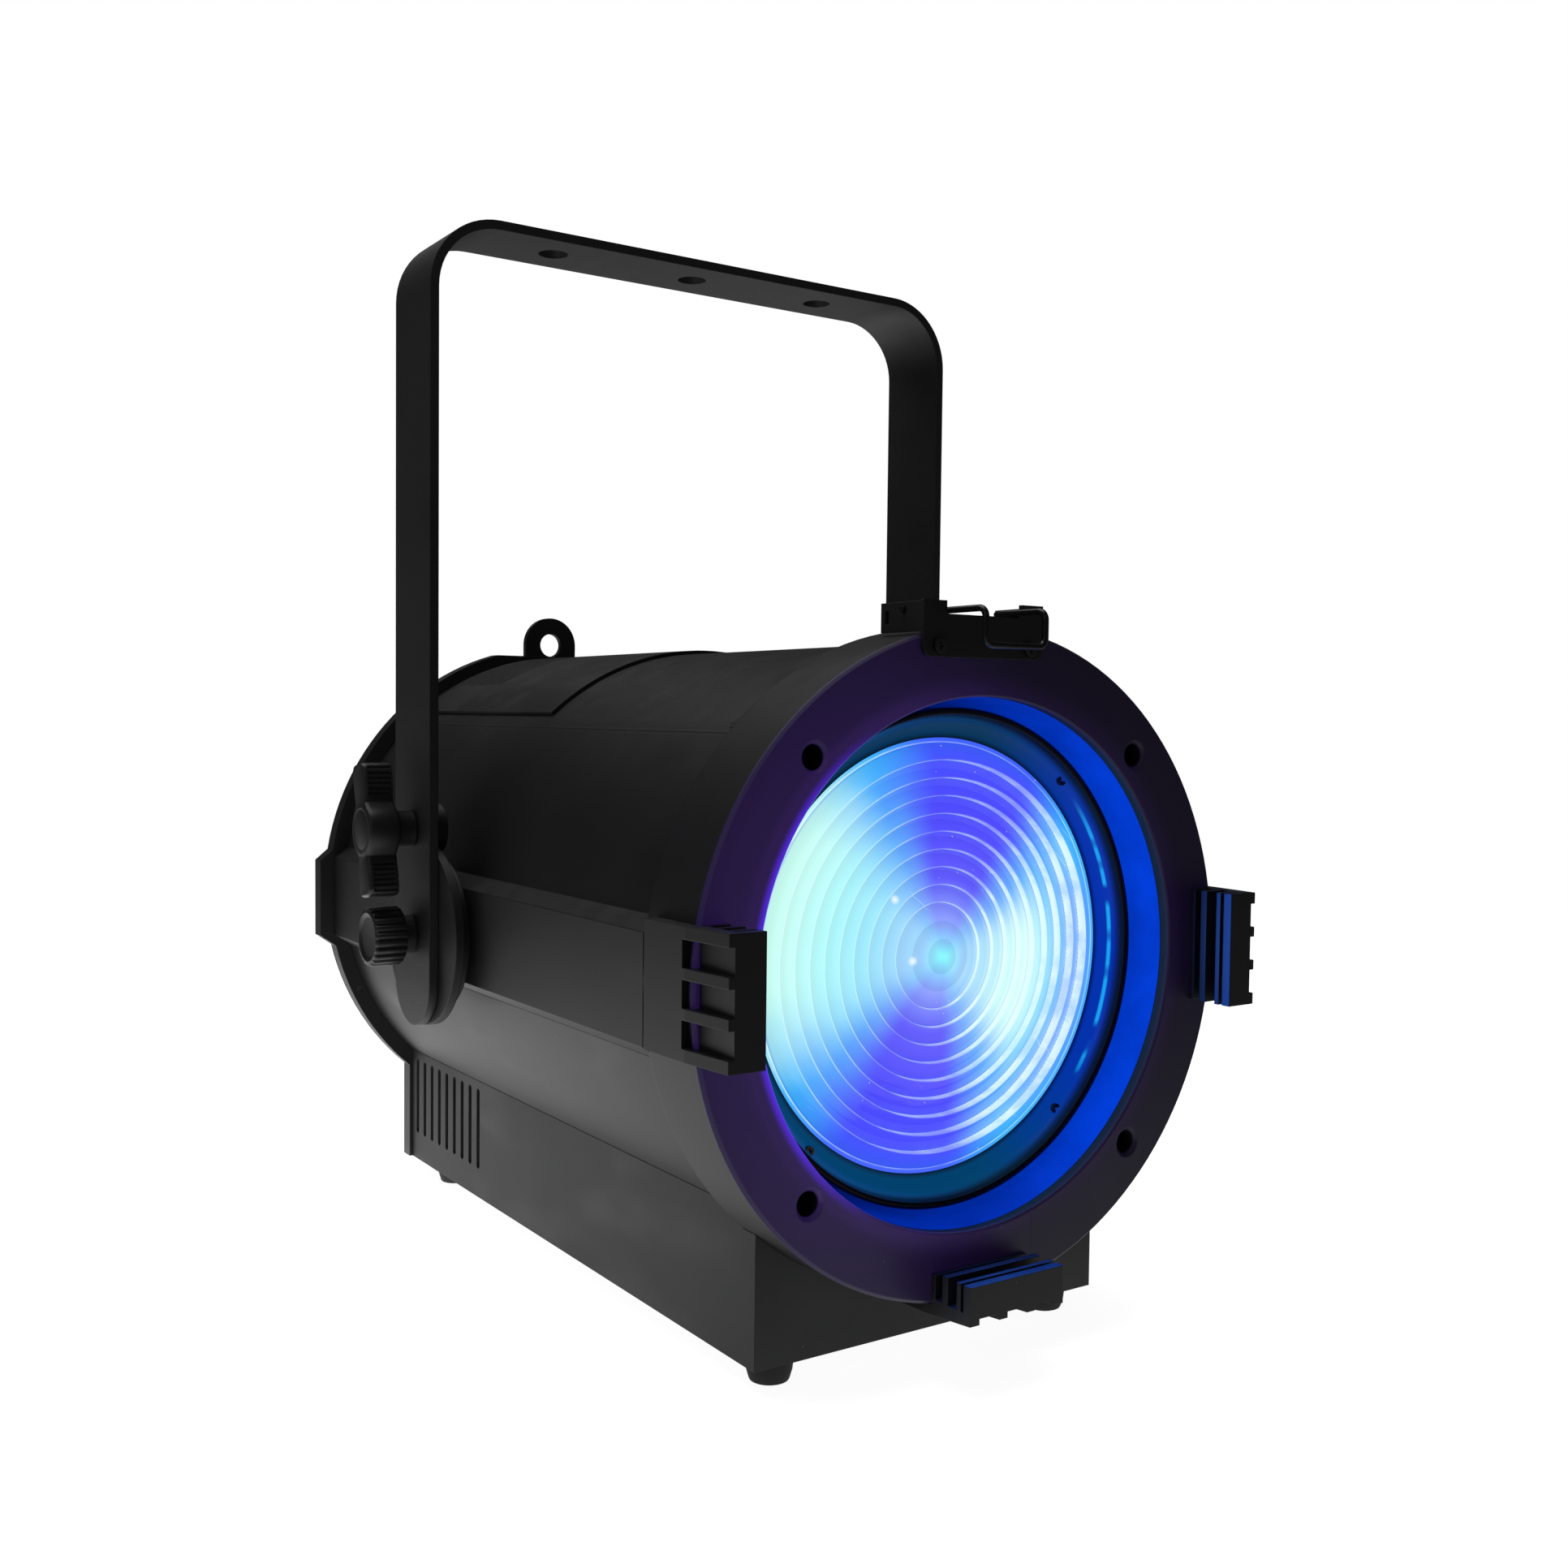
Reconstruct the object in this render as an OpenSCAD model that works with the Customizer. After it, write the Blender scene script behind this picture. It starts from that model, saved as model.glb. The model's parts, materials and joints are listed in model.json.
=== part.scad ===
// Fresnel spotlight: a tubular LED lamp head with a 200 mm class stepped lens, a bent bar yoke with
// friction discs and lock knobs, gel-frame clips with a wire latch, and a driver box underneath.
// The lamp points along -Y and stands on the floor at z = 0. Units are millimetres.

/* [Lamp head] */
// Height of the optical axis above the floor
axis_h = 184; // [183:0.5:190]
// Length from the ring's front face to the back of the rear cover
head_len = 440; // [436:1:460]
// Outer radius of the tube that the shells make
tube_r = 144; // [143.5:0.1:144.5]
// Thickness of the sheet shells
shell_t = 2; // [1.6:0.1:2.4]
// Half width across the flat side rails
rail_x = 150; // [149.8:0.1:150]

/* [Front ring] */
// Outer radius of the front ring
ring_r = 150; // [149.5:0.1:150]
// Radius of the round window in the ring
window_r = 119; // [118:0.5:119]
// Length of the ring along the axis
ring_len = 40; // [38:0.5:42]
// Thickness of the ring's face
face_t = 6; // [5:0.5:7]
// Circle that the four accessory holes lie on
accessory_pcd = 262.2; // [261:0.1:263]
// Radius of an accessory hole
accessory_r = 5.5; // [5:0.1:6]

/* [Lens] */
// Radius of the glass
lens_r = 106; // [105.5:0.1:106.2]
// Radius of the smooth middle of the lens
dome_r = 24.5; // [23:0.5:25]
// Width of one lens step
step_w = 8.2; // [8:0.05:8.25]
// Number of steps round the dome
steps = 9; // [7:1:9]
// Outer radius of the barrel that carries the lens
barrel_r = 114.3; // [113.5:0.1:115]
// Depth of the barrel's front edge behind the ring face
barrel_depth = 21.6; // [18:0.2:24]
// Travel of the lens from spot to flood
zoom_travel = 90; // [60:1:90]

/* [Yoke] */
// Width of the yoke's flat bar
bar_w = 48; // [44:1:52]
// Thickness of the bar
bar_t = 4.7; // [4:0.1:5]
// Half width across the outside of the arms
yoke_x = 165.6; // [165.6:0.1:166]
// Height of the bar's top above the optical axis
yoke_top = 361.3; // [350:0.5:370]
// Outer bend radius of the bar
bend_r = 38; // [32:1:42]
// Radius of the three hanging holes
hang_r = 8; // [6.5:0.1:9]
// Distance between the hanging holes
hang_pitch = 86.7; // [80:0.1:90]

/* [Tilt joint] */
// Distance of the pivot behind the ring face
pivot_y = 259; // [255:1:262]
// Height of the pivot relative to the optical axis
pivot_z = -6; // [-7:0.5:-5]
// Radius of the friction disc
disc_r = 47.5; // [46:0.5:48]
// Distance of the lock knob's stud above the pivot
lock_rise = 55; // [55:0.5:56]

/* [Driver box] */
// Half width of the driver box
box_x = 99.6; // [99:0.1:100]
// Height of the rubber feet
foot_h = 11.4; // [10:0.1:13]
// Number of vent slots on each side
side_vents = 9; // [5:1:9]
// Distance between vent slots
vent_pitch = 11.85; // [9:0.05:11.9]

/* [Hidden] */
$fn = 96;
eps = 0.01;

// Distances along the axis, measured back from the ring's front face
clip_reach = 26;
rear_max = head_len + 7;
face_y = (clip_reach - rear_max) / 2;
shell_y1 = head_len - 3;
cover_y0 = head_len - 10;
box_front = 30.3;
bulk_y = 92;
engine_y = 222;
sink_y = 226;
fan_y = 335;
vent_y0 = 240;

// Heights relative to the optical axis
floor_z = -axis_h;
box_z = floor_z + foot_h;
rail_hi = 20;
rail_hi_end = 26;
rail_lo = -28;
rail_lo_end = -35;
seam_deg = 45;
shell_screw_deg = 42.9;

// Rear cover
cover_r = 153;
cover_flat_z = 147;
cover_rail_x = 158.7;
cover_box_x = box_x + 2;

// Gel clips, seen in section: radius and depth
clip_half = 27;
clip_in = 132.5;
clip_root = 144.5;
clip_out = 149.5;
clip_rear_out = 153.5;
clip_rear_y = 33;
clip_low_rear_y = 29;
clip_foot = 2.5;
accessory_slot_y = -7.5;
gel_slot_back = -11;
gel_slot_front = -17;
spare_slot_back = -19.5;
spare_slot_front = -21.5;
pocket_deep = 2.7;
pocket_w = 11.3;
pocket_pitch = 16;

// Latch at the top of the ring
latch_x = -4;
latch_half = 34.3;
latch_t = 2;
latch_low = 135.7;
latch_mid = 154.3;
latch_top = 160;
latch_ear = 12.8;
latch_back = 28;
latch_screw_x = 26;
latch_screw_z = 140.3;
bail_r = 1.5;
bail_half = 17;
bail_axis_y = 12;
bail_axis_z = 156.2;
bail_front_y = -22;
bail_low_z = 140.5;
bail_bend = 4;

// Lens carriage
lens_y = 33;
lens_base = 6;
rim_flat = 0.6;
margin_in = 100.5;
margin_out = 111;
margin_deep = 10;
lip_t = 0.9;
screw_seat_y = lens_y - 3.2;
holder_screw_r = 108.3;
holder_screw_deg = [47.5, 132.5, 227.5, 312.5];
holder_len = 10;
flange_y = 106;
flange_t = 6;
flange_r = 135;
rod_ring = 127;
rod_r = 4;
bush_r = 7;
bush_len = 16;
screw_ring = 125;
screw_r = 3;
screw_deg = 150;
run = 0.05;

// Light engine
sink_r = 98;
fin_t = 2;
fin_pitch = 8;
fins = 23;
led_r = 42;
fan_half = 60;
fan_bore = 57.5;
fan_len = 25;
blades = 9;

// Tilt joint, distances out from the middle
boss_r = 39.5;
disc_x0 = 156.2;
disc_x1 = 160.7;
arm_in = yoke_x - bar_t;
bolt_r = 5;
arm_bush_r = 9;
stud_r = 4;
shoe_r = 13;
lock_z = pivot_z + lock_rise;
knob_gap = 0.4;
lock_tilt = 10;
vent_slot_r = 2.2;
vent_half = 23.5;
vent_z = -132.3;
vent_y = 326.4;

// Rear panel
panel_z = -81;
panel_half = 82;
panel_h = 34;
button_x0 = 26;
button_pitch = 14;
button_r = 4.5;
socket_z = -140;

// ---- Shared shapes --------------------------------------------------------------------------------

// Moves a shape from the lamp's own frame (ring face, optical axis) to the part's frame
module in_lamp() {
    translate([0, face_y, axis_h]) children();
}

// A rod along Y
module rod_y(r, y0, y1) {
    translate([0, y0, 0]) rotate([-90, 0, 0]) cylinder(r = r, h = y1 - y0);
}

// A rod along X
module rod_x(r, x0, x1) {
    translate([x0, 0, 0]) rotate([0, 90, 0]) cylinder(r = r, h = x1 - x0);
}

// A tube along Y
module tube_y(r_out, r_in, y0, y1) {
    difference() {
        rod_y(r_out, y0, y1);
        rod_y(r_in, y0 - 1, y1 + 1);
    }
}

// A closed profile of radius and depth, turned round the optical axis
module turn_y(points) {
    rotate([-90, 0, 0]) rotate_extrude() polygon(points);
}

// A profile in X and Z, drawn out along Y
module along_y(points, y0, y1) {
    translate([0, y1, 0]) rotate([90, 0, 0]) linear_extrude(y1 - y0) polygon(points);
}

// A block between two corners
module block(low, high) {
    translate(low) cube(high - low);
}

// Children at a radius and an angle from +X, round the optical axis
module at_polar(radius, angle) {
    translate([radius * cos(angle), 0, radius * sin(angle)]) children();
}

// Left copy of a right-hand shape
module on_side(side) {
    if (side > 0) {
        children();
    } else {
        mirror([1, 0, 0]) children();
    }
}

// Machine screw with its head at the origin and its shank along +Y
module screw_y(shank_r, head_r, head_h, len) {
    rod_y(shank_r, 0, len);
    difference() {
        rod_y(head_r, -head_h, 0);
        for (turn = [0, 90]) {
            rotate([0, turn, 0])
                block([-head_r * 0.55, -head_h - 1, -0.4], [head_r * 0.55, -head_h * 0.45, 0.4]);
        }
    }
}

// Distance from the axis plane to a circle at a given height
function chord(r, z) = sqrt(r * r - z * z);

// ---- Casing ---------------------------------------------------------------------------------------

// Solid outline of the tube with its side rails
module rail_prism(r, x, y0, y1) {
    rod_y(r, y0, y1);
    for (side = [-1, 1]) {
        on_side(side) along_y([
            [chord(r, rail_hi_end) - 20, rail_hi_end],
            [chord(r, rail_hi_end), rail_hi_end],
            [x, rail_hi],
            [x, rail_lo],
            [chord(r, rail_lo_end), rail_lo_end],
            [chord(r, rail_lo_end) - 20, rail_lo_end]
        ], y0, y1);
    }
}

module casing_wall() {
    difference() {
        rail_prism(tube_r, rail_x, ring_len, shell_y1);
        rail_prism(tube_r - shell_t, rail_x - shell_t, ring_len - 1, shell_y1 + 1);
    }
}

module upper_shell() {
    reach = 300;
    color("#1d1d20") in_lamp() difference() {
        intersection() {
            casing_wall();
            along_y([[0, 0], [reach, reach], [-reach, reach]], 0, head_len);
        }
        block([-62, 352, 100], [62, 426, 160]);
        for (side = [-1, 1], y = [52, 420]) {
            rotate([0, -side * shell_screw_deg, 0]) translate([0, y, 0]) cylinder(r = 1.5, h = 200);
        }
    }
}

module side_rail(side) {
    reach = 300;
    skin = shell_t / 4;
    color("#1d1d20") in_lamp() on_side(side) difference() {
        intersection() {
            union() {
                casing_wall();
                difference() {
                    rail_prism(tube_r - skin, rail_x - skin, ring_len + skin, ring_len + shell_t);
                    rod_y(tube_r - shell_t + skin, ring_len, ring_len + shell_t + 1);
                }
            }
            along_y([[20, 20], [reach, reach], [reach, rail_lo_end], [20, rail_lo_end]], 0, head_len);
        }
        translate([0, pivot_y, pivot_z]) rod_x(bolt_r, 100, 200);
    }
}

module lower_skirt(side) {
    reach = 300;
    color("#1d1d20") in_lamp() on_side(side) intersection() {
        casing_wall();
        along_y([[box_x, rail_lo_end], [reach, rail_lo_end], [reach, -reach], [box_x, -reach]], 0, head_len);
    }
}

module vent_cover() {
    cover_t = 2;
    edge_deg = 41;
    reach = 300;
    slot_first = 358;
    slot_pitch = 3.6;
    slot_w = 1.6;
    slot_half = 73;
    color("#202023") in_lamp() difference() {
        intersection() {
            tube_y(tube_r + cover_t, tube_r, vent_y0, cover_y0);
            along_y([[0, 0], [reach * sin(edge_deg), reach * cos(edge_deg)],
                [-reach * sin(edge_deg), reach * cos(edge_deg)]], 0, head_len);
        }
        for (i = [0 : 17]) {
            translate([0, slot_first + i * slot_pitch, 0])
                block([-slot_half, 0, tube_r / 2], [slot_half, slot_w, tube_r + 10]);
        }
    }
}

// Outline of the rear cover as a solid
module cover_prism(y0, y1) {
    rod_y(cover_r, y0, y1);
    for (side = [-1, 1]) {
        on_side(side) along_y([
            [120, 24.5], [chord(cover_r, 24.5), 24.5], [cover_rail_x, 18],
            [cover_rail_x, rail_lo], [chord(cover_r, rail_lo_end), rail_lo_end], [120, rail_lo_end]
        ], y0, y1);
    }
    block([-cover_box_x, y0, box_z], [cover_box_x, y1, 0]);
}

module rear_cover() {
    slot_half = 3;
    color("#1d1d20") in_lamp() difference() {
        cover_prism(cover_y0, head_len);
        block([-cover_r, cover_y0 - 1, cover_flat_z], [cover_r, head_len + 1, cover_r + 1]);
        rail_prism(tube_r, rail_x, cover_y0 - 1, shell_y1);
        block([-box_x, cover_y0 - 1, box_z - 1], [box_x, shell_y1, 0]);
        intersection() {
            rod_y(52, shell_y1 - 1, head_len + 1);
            for (i = [-4 : 4]) {
                block([-60, shell_y1 - 2, i * 11 - slot_half], [60, head_len + 2, i * 11 + slot_half]);
            }
        }
        block([-panel_half + 6, shell_y1 - 1, panel_z - 12], [panel_half - 6, head_len + 1, panel_z + 12]);
        for (x = [-72, -36, 12, 48]) {
            translate([x, 0, socket_z]) rod_y(12, shell_y1 - 1, head_len + 1);
        }
        for (a = [25, 65, 115, 155, 205, 335]) {
            at_polar(cover_r - 4.5, a) rod_y(1.5, cover_y0 - 1, head_len + 1);
        }
        for (x = [-10, 10]) {
            translate([x, 0, 122]) rod_y(2, shell_y1 - 1, head_len + 1);
        }
    }
}

module safety_eye() {
    eye_w = 18;
    eye_z = 155;
    color("#1d1d20") in_lamp() difference() {
        union() {
            block([-eye_w, head_len, 112], [eye_w, head_len + 4, eye_z]);
            translate([0, 0, eye_z]) rod_y(eye_w, head_len, head_len + 4);
        }
        translate([0, 0, eye_z]) rod_y(7.5, head_len - 1, head_len + 5);
        for (x = [-10, 10]) {
            translate([x, 0, 122]) rod_y(2, head_len - 1, head_len + 5);
        }
    }
}

module driver_box() {
    wall = 2;
    color("#26272a") in_lamp() difference() {
        block([-box_x, box_front, box_z], [box_x, shell_y1, -100]);
        block([-box_x + wall, box_front + wall, box_z + wall], [box_x - wall, shell_y1 + 1, -99]);
        rod_y(ring_r, box_front - 1, ring_len);
        rod_y(tube_r, ring_len - 1, shell_y1 + 1);
        for (i = [0 : side_vents - 1]) {
            translate([0, vent_y + i * vent_pitch, 0]) vent_slot();
        }
        for (x = [-82, 82], y = [45, 402]) {
            translate([x, y, box_z - 1]) cylinder(r = 2, h = wall + 2);
        }
    }
}

// One round-ended slot through both side walls of the driver box
module vent_slot() {
    block([-box_x - 1, -vent_slot_r, vent_z - vent_half + vent_slot_r],
        [box_x + 1, vent_slot_r, vent_z + vent_half - vent_slot_r]);
    for (z = [-1, 1]) {
        translate([0, 0, vent_z + z * (vent_half - vent_slot_r)]) rod_x(vent_slot_r, -box_x - 1, box_x + 1);
    }
}

module rubber_feet() {
    color("#0d0d0e") in_lamp() for (x = [-82, 82], y = [45, 402]) {
        translate([x, y, floor_z]) difference() {
            cylinder(r1 = 9.2, r2 = 11.2, h = foot_h);
            translate([0, 0, -1]) cylinder(r = 5, h = 6);
            cylinder(r = 2, h = foot_h + 1);
        }
    }
}

module foot_screws() {
    color("#8c8f94") in_lamp() for (x = [-82, 82], y = [45, 402]) {
        translate([x, y, floor_z]) {
            translate([0, 0, 5]) cylinder(r = 2, h = foot_h);
            translate([0, 0, 2.6]) cylinder(r = 4, h = 2.4);
        }
    }
}

module case_screws() {
    color("#2b2b2e") in_lamp() {
        for (side = [-1, 1], y = [52, 420]) {
            rotate([0, -side * shell_screw_deg, 0]) translate([0, y, tube_r - 6]) {
                cylinder(r = 1.5, h = 6 + eps);
                translate([0, 0, 6]) cylinder(r = 2.8, h = 1.2);
            }
        }
        for (a = [25, 65, 115, 155, 205, 335]) {
            at_polar(cover_r - 4.5, a) mirror([0, 1, 0]) translate([0, -head_len, 0]) screw_y(1.5, 2.8, 1.6, 10);
        }
        for (x = [-10, 10]) {
            translate([x, head_len + 4, 122]) mirror([0, 1, 0]) screw_y(2, 4, 3, 12);
        }
        for (x = [-panel_half + 3, panel_half - 3], z = [-12, 12]) {
            translate([x, head_len + 1.5, panel_z + z]) mirror([0, 1, 0]) screw_y(1.2, 2.2, 1.2, 1.5 - eps);
        }
    }
}

// ---- Front ring, gel clips and latch --------------------------------------------------------------

module front_ring() {
    wall_in = ring_r - 5;
    bead = 1.5;
    at = accessory_pcd / 2;
    color("#18181b") in_lamp() difference() {
        union() {
            turn_y([
                [window_r, bead / 2], [window_r + bead / 2, 0], [ring_r - bead, 0], [ring_r, bead],
                [ring_r, ring_len], [138, ring_len], [138, ring_len - 6], [wall_in, ring_len - 6],
                [wall_in, face_t], [window_r, face_t]
            ]);
            for (a = [45 : 90 : 315]) {
                at_polar(at, a) rod_y(9, face_t - 1, 26);
            }
        }
        for (a = [45 : 90 : 315]) {
            at_polar(at, a) {
                rod_y(accessory_r, -1, 23);
                rotate([-90, 0, 0]) cylinder(r1 = accessory_r + 1.6, r2 = accessory_r, h = 1.6);
            }
        }
        for (a = [0, 180, 270]) {
            rotate([0, -a, 0]) for (z = [-15, 15]) {
                translate([139, 0, z]) rod_y(1.5, -1, face_t + 1);
            }
        }
        for (x = [-latch_screw_x, latch_screw_x]) {
            translate([latch_x + x, 0, latch_screw_z]) rod_y(1.5, -1, face_t + 1);
        }
    }
}

// Slotted clip on the +X side of the ring. Its fins leave slots for an accessory and a gel frame.
module gel_clip(rear_y) {
    section = [
        [clip_rear_out, rear_y], [clip_rear_out - 1, 2], [clip_out, -clip_reach],
        [clip_in, -clip_reach], [clip_in, spare_slot_front], [clip_root, spare_slot_front],
        [clip_root, spare_slot_back], [clip_in, spare_slot_back], [clip_in, gel_slot_front],
        [clip_root, gel_slot_front], [clip_root, gel_slot_back], [clip_in, gel_slot_back],
        [clip_in, accessory_slot_y], [clip_root, accessory_slot_y], [clip_root, -clip_foot],
        [clip_in + 1.5, -clip_foot], [clip_in + 1.5, 0], [clip_root, 0], [clip_root, rear_y]
    ];
    difference() {
        translate([0, 0, -clip_half]) linear_extrude(2 * clip_half) polygon(section);
        rod_y(ring_r, 0, rear_y + 1);
        for (i = [-1 : 1]) {
            block([clip_out - pocket_deep, -clip_reach - 1, i * pocket_pitch - pocket_w / 2],
                [clip_rear_out + 2, 4, i * pocket_pitch + pocket_w / 2]);
        }
        for (z = [-15, 15]) {
            translate([139, 0, z]) rod_y(1.5, -clip_foot - 1, 1);
        }
    }
}

module placed_clip(angle, rear_y) {
    color("#161618") in_lamp() rotate([0, -angle, 0]) gel_clip(rear_y);
}

module front_screws() {
    color("#303034") in_lamp() {
        for (a = [0, 180, 270]) {
            rotate([0, -a, 0]) for (z = [-15, 15]) {
                translate([139, face_t, z]) mirror([0, 1, 0]) screw_y(1.5, 3, 2, face_t + clip_foot - 0.2);
            }
        }
        for (x = [-latch_screw_x, latch_screw_x]) {
            translate([latch_x + x, -latch_t, latch_screw_z]) screw_y(1.5, 3.2, 1.8, latch_t + face_t);
        }
    }
}

module latch_bracket() {
    inner = latch_half - latch_t;
    color("#161618") in_lamp() translate([latch_x, 0, 0]) difference() {
        union() {
            block([-latch_half, -latch_t, latch_low + 4], [latch_half, 0, latch_mid]);
            block([-latch_half + 4, -latch_t, latch_low], [latch_half - 4, 0, latch_low + 4]);
            for (side = [-1, 1]) {
                on_side(side) {
                    translate([latch_half - 4, 0, latch_low + 4]) rod_y(4, -latch_t, 0);
                    block([latch_half - latch_ear, -latch_t, latch_mid], [latch_half, 0, latch_top]);
                    block([inner, -latch_t, 146.5], [latch_half, latch_back, latch_top - 0.5]);
                }
            }
        }
        for (x = [-latch_screw_x, latch_screw_x]) {
            translate([x, 0, latch_screw_z]) rod_y(1.5, -latch_t - 1, 1);
        }
        translate([0, bail_axis_y, bail_axis_z]) rod_x(bail_r + run, -latch_half - 1, latch_half + 1);
        block([-latch_half - 1, 21, 150], [latch_half + 1, 25, 156]);
        translate([-latch_x, 0, 0]) rod_y(ring_r, 0, latch_back + 1);
    }
}

// A quarter bend of the latch wire. It leaves the origin along +X and turns towards +Y.
module bail_bend_90() {
    translate([0, bail_bend, 0]) rotate([0, 0, -90]) rotate_extrude(angle = 90)
        translate([bail_bend, 0]) circle(r = bail_r, $fn = 32);
}

module latch_bail() {
    drop = bail_axis_z - bail_low_z;
    color("#0c0c0d") in_lamp() translate([latch_x, 0, 0]) {
        for (side = [-1, 1]) {
            on_side(side) {
                translate([0, bail_axis_y, bail_axis_z])
                    rod_x(bail_r, bail_half + bail_bend, latch_half + 1.2);
                translate([bail_half + bail_bend, bail_axis_y, bail_axis_z])
                    rotate([0, 0, 180]) bail_bend_90();
                translate([bail_half, 0, bail_axis_z])
                    rod_y(bail_r, bail_front_y + bail_bend, bail_axis_y - bail_bend);
                translate([bail_half, bail_front_y + bail_bend, bail_axis_z])
                    rotate([0, 90, -90]) bail_bend_90();
                translate([bail_half, bail_front_y, bail_low_z + bail_bend])
                    cylinder(r = bail_r, h = drop - 2 * bail_bend);
                translate([bail_half, bail_front_y, bail_low_z + bail_bend])
                    rotate([90, 90, 0]) mirror([0, 1, 0]) bail_bend_90();
            }
        }
        translate([0, bail_front_y, bail_low_z]) rod_x(bail_r, -bail_half + bail_bend, bail_half - bail_bend);
    }
}

// ---- Lens and zoom --------------------------------------------------------------------------------

module lens_sleeve() {
    color("#15151a") in_lamp() tube_y(window_r + 2, window_r, face_t, bulk_y + 8);
}

module front_bulkhead() {
    color("#77797d") in_lamp() difference() {
        tube_y(tube_r - shell_t, window_r + 2, bulk_y, bulk_y + 3);
        for (a = [90, 210, 330]) {
            at_polar(rod_ring, a) rod_y(rod_r, bulk_y - 1, bulk_y + 4);
        }
        at_polar(screw_ring, screw_deg) rod_y(screw_r + run, bulk_y - 1, bulk_y + 4);
    }
}

module lens_holder() {
    seat = lens_r + run;
    inner = 111.5;
    margin = [for (a = [0 : 15 : 90])
        [margin_in + (margin_out - margin_in) * cos(a), barrel_depth + lip_t + margin_deep * sin(a)]];
    color("#0b0b0c") in_lamp() difference() {
        turn_y(concat([
            [margin_out + 0.6, barrel_depth], [barrel_r - 0.6, barrel_depth],
            [barrel_r, barrel_depth + 0.6], [barrel_r, barrel_depth + 4], [inner, barrel_depth + 4],
            [inner, lens_y + holder_len], [seat, lens_y + holder_len], [seat, lens_y], [margin_in, lens_y]
        ], [for (i = [len(margin) - 1 : -1 : 0]) margin[i]]));
        for (a = holder_screw_deg) {
            at_polar(holder_screw_r, a) {
                rod_y(1.2, screw_seat_y - 1, screw_seat_y + 8);
                rod_y(2.5, barrel_depth + lip_t, screw_seat_y);
            }
        }
    }
}

module holder_screws() {
    color("#3a3a3e") in_lamp() for (a = holder_screw_deg) {
        at_polar(holder_screw_r, a) translate([0, screw_seat_y, 0]) screw_y(1.2, 2.4, 1.6, 7);
    }
}

// Depth of the step's slope, which grows with its distance from the middle
function step_drop(r) = step_w * r / 150;
// Points of one lens step, from its inner ridge to its outer valley
function step_points(r) = [[r, lens_y - step_drop(r + step_w)], [r + step_w, lens_y - 0.3]];
function dome_point(a) = [dome_r * sin(a) / sin(40), lens_y - 0.3 - 4.6 * (cos(a) - cos(40)) / (1 - cos(40))];

module fresnel_lens() {
    profile = concat(
        [for (a = [0 : 8 : 40]) dome_point(a)],
        [for (i = [0 : steps - 1]) each step_points(dome_r + i * step_w)],
        [[dome_r + steps * step_w + rim_flat, lens_y], [lens_r, lens_y], [lens_r, lens_y + lens_base],
            [0, lens_y + lens_base]]
    );
    color("#bfe6ff") in_lamp() turn_y(profile);
}

module lens_barrel() {
    inner = 111.5;
    color("#101013") in_lamp() difference() {
        turn_y([
            [inner, barrel_depth + 4], [barrel_r, barrel_depth + 4], [barrel_r, flange_y],
            [flange_r, flange_y], [flange_r, flange_y + flange_t], [inner, flange_y + flange_t]
        ]);
        for (a = [90, 210, 330]) {
            at_polar(rod_ring, a) rod_y(bush_r, flange_y - 1, flange_y + flange_t + 1);
        }
        at_polar(screw_ring, screw_deg) rod_y(bush_r, flange_y - 1, flange_y + flange_t + 1);
    }
}

module slide_bushes() {
    mid = flange_y + flange_t / 2;
    color("#b08d4a") in_lamp() for (a = [90, 210, 330]) {
        at_polar(rod_ring, a) tube_y(bush_r, rod_r + run, mid - bush_len / 2, mid + bush_len / 2);
    }
}

module lead_nut() {
    color("#b08d4a") in_lamp() at_polar(screw_ring, screw_deg)
        tube_y(bush_r, screw_r + run, flange_y - 3, flange_y + flange_t + 3);
}

module guide_rods() {
    color("#b9bcc2") in_lamp() for (a = [90, 210, 330]) {
        at_polar(rod_ring, a) rod_y(rod_r, bulk_y, sink_y);
    }
}

module lead_screw() {
    color("#9da1a8") in_lamp() at_polar(screw_ring, screw_deg) {
        rod_y(screw_r, bulk_y, sink_y + 3);
        rod_y(screw_r + 1.5, sink_y - 7, sink_y - 6);
    }
}

module zoom_motor() {
    half = 14;
    color("#2c2c31") in_lamp() rotate([0, -screw_deg, 0]) difference() {
        block([screw_ring - half, sink_y, -half], [screw_ring + half, sink_y + 32, half]);
        translate([screw_ring, 0, 0]) rod_y(screw_r + run, sink_y - 1, sink_y + 6);
    }
}

// ---- Light engine and cooling ---------------------------------------------------------------------

module rear_bulkhead() {
    color("#77797d") in_lamp() difference() {
        rod_y(tube_r - shell_t, engine_y, sink_y);
        rod_y(led_r + 4, engine_y - 1, sink_y + 1);
        for (a = [90, 210, 330]) {
            at_polar(rod_ring, a) rod_y(rod_r, engine_y - 1, sink_y + 1);
        }
        at_polar(screw_ring, screw_deg) rod_y(screw_r + run, engine_y - 1, sink_y + 1);
        for (a = [0, 60, 180, 240, 300]) {
            at_polar(112, a) rod_y(9, engine_y - 1, sink_y + 1);
        }
    }
}

module led_board() {
    color("#e8e6dc") in_lamp() rod_y(led_r, sink_y - 2, sink_y);
}

module led_emitters() {
    pitch = 7.5;
    color("#f4e27a") in_lamp() for (ix = [-3 : 3], iz = [-3 : 3]) {
        if (ix * ix + iz * iz <= 10) {
            translate([ix * pitch, 0, iz * pitch])
                block([-1.7, sink_y - 3.4, -1.7], [1.7, sink_y - 2, 1.7]);
        }
    }
}

module mixing_reflector() {
    color("#d8dbe0") in_lamp() turn_y([
        [28, sink_y - 2], [29, sink_y - 2], [40, sink_y - 20], [39, sink_y - 20]
    ]);
}

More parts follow.
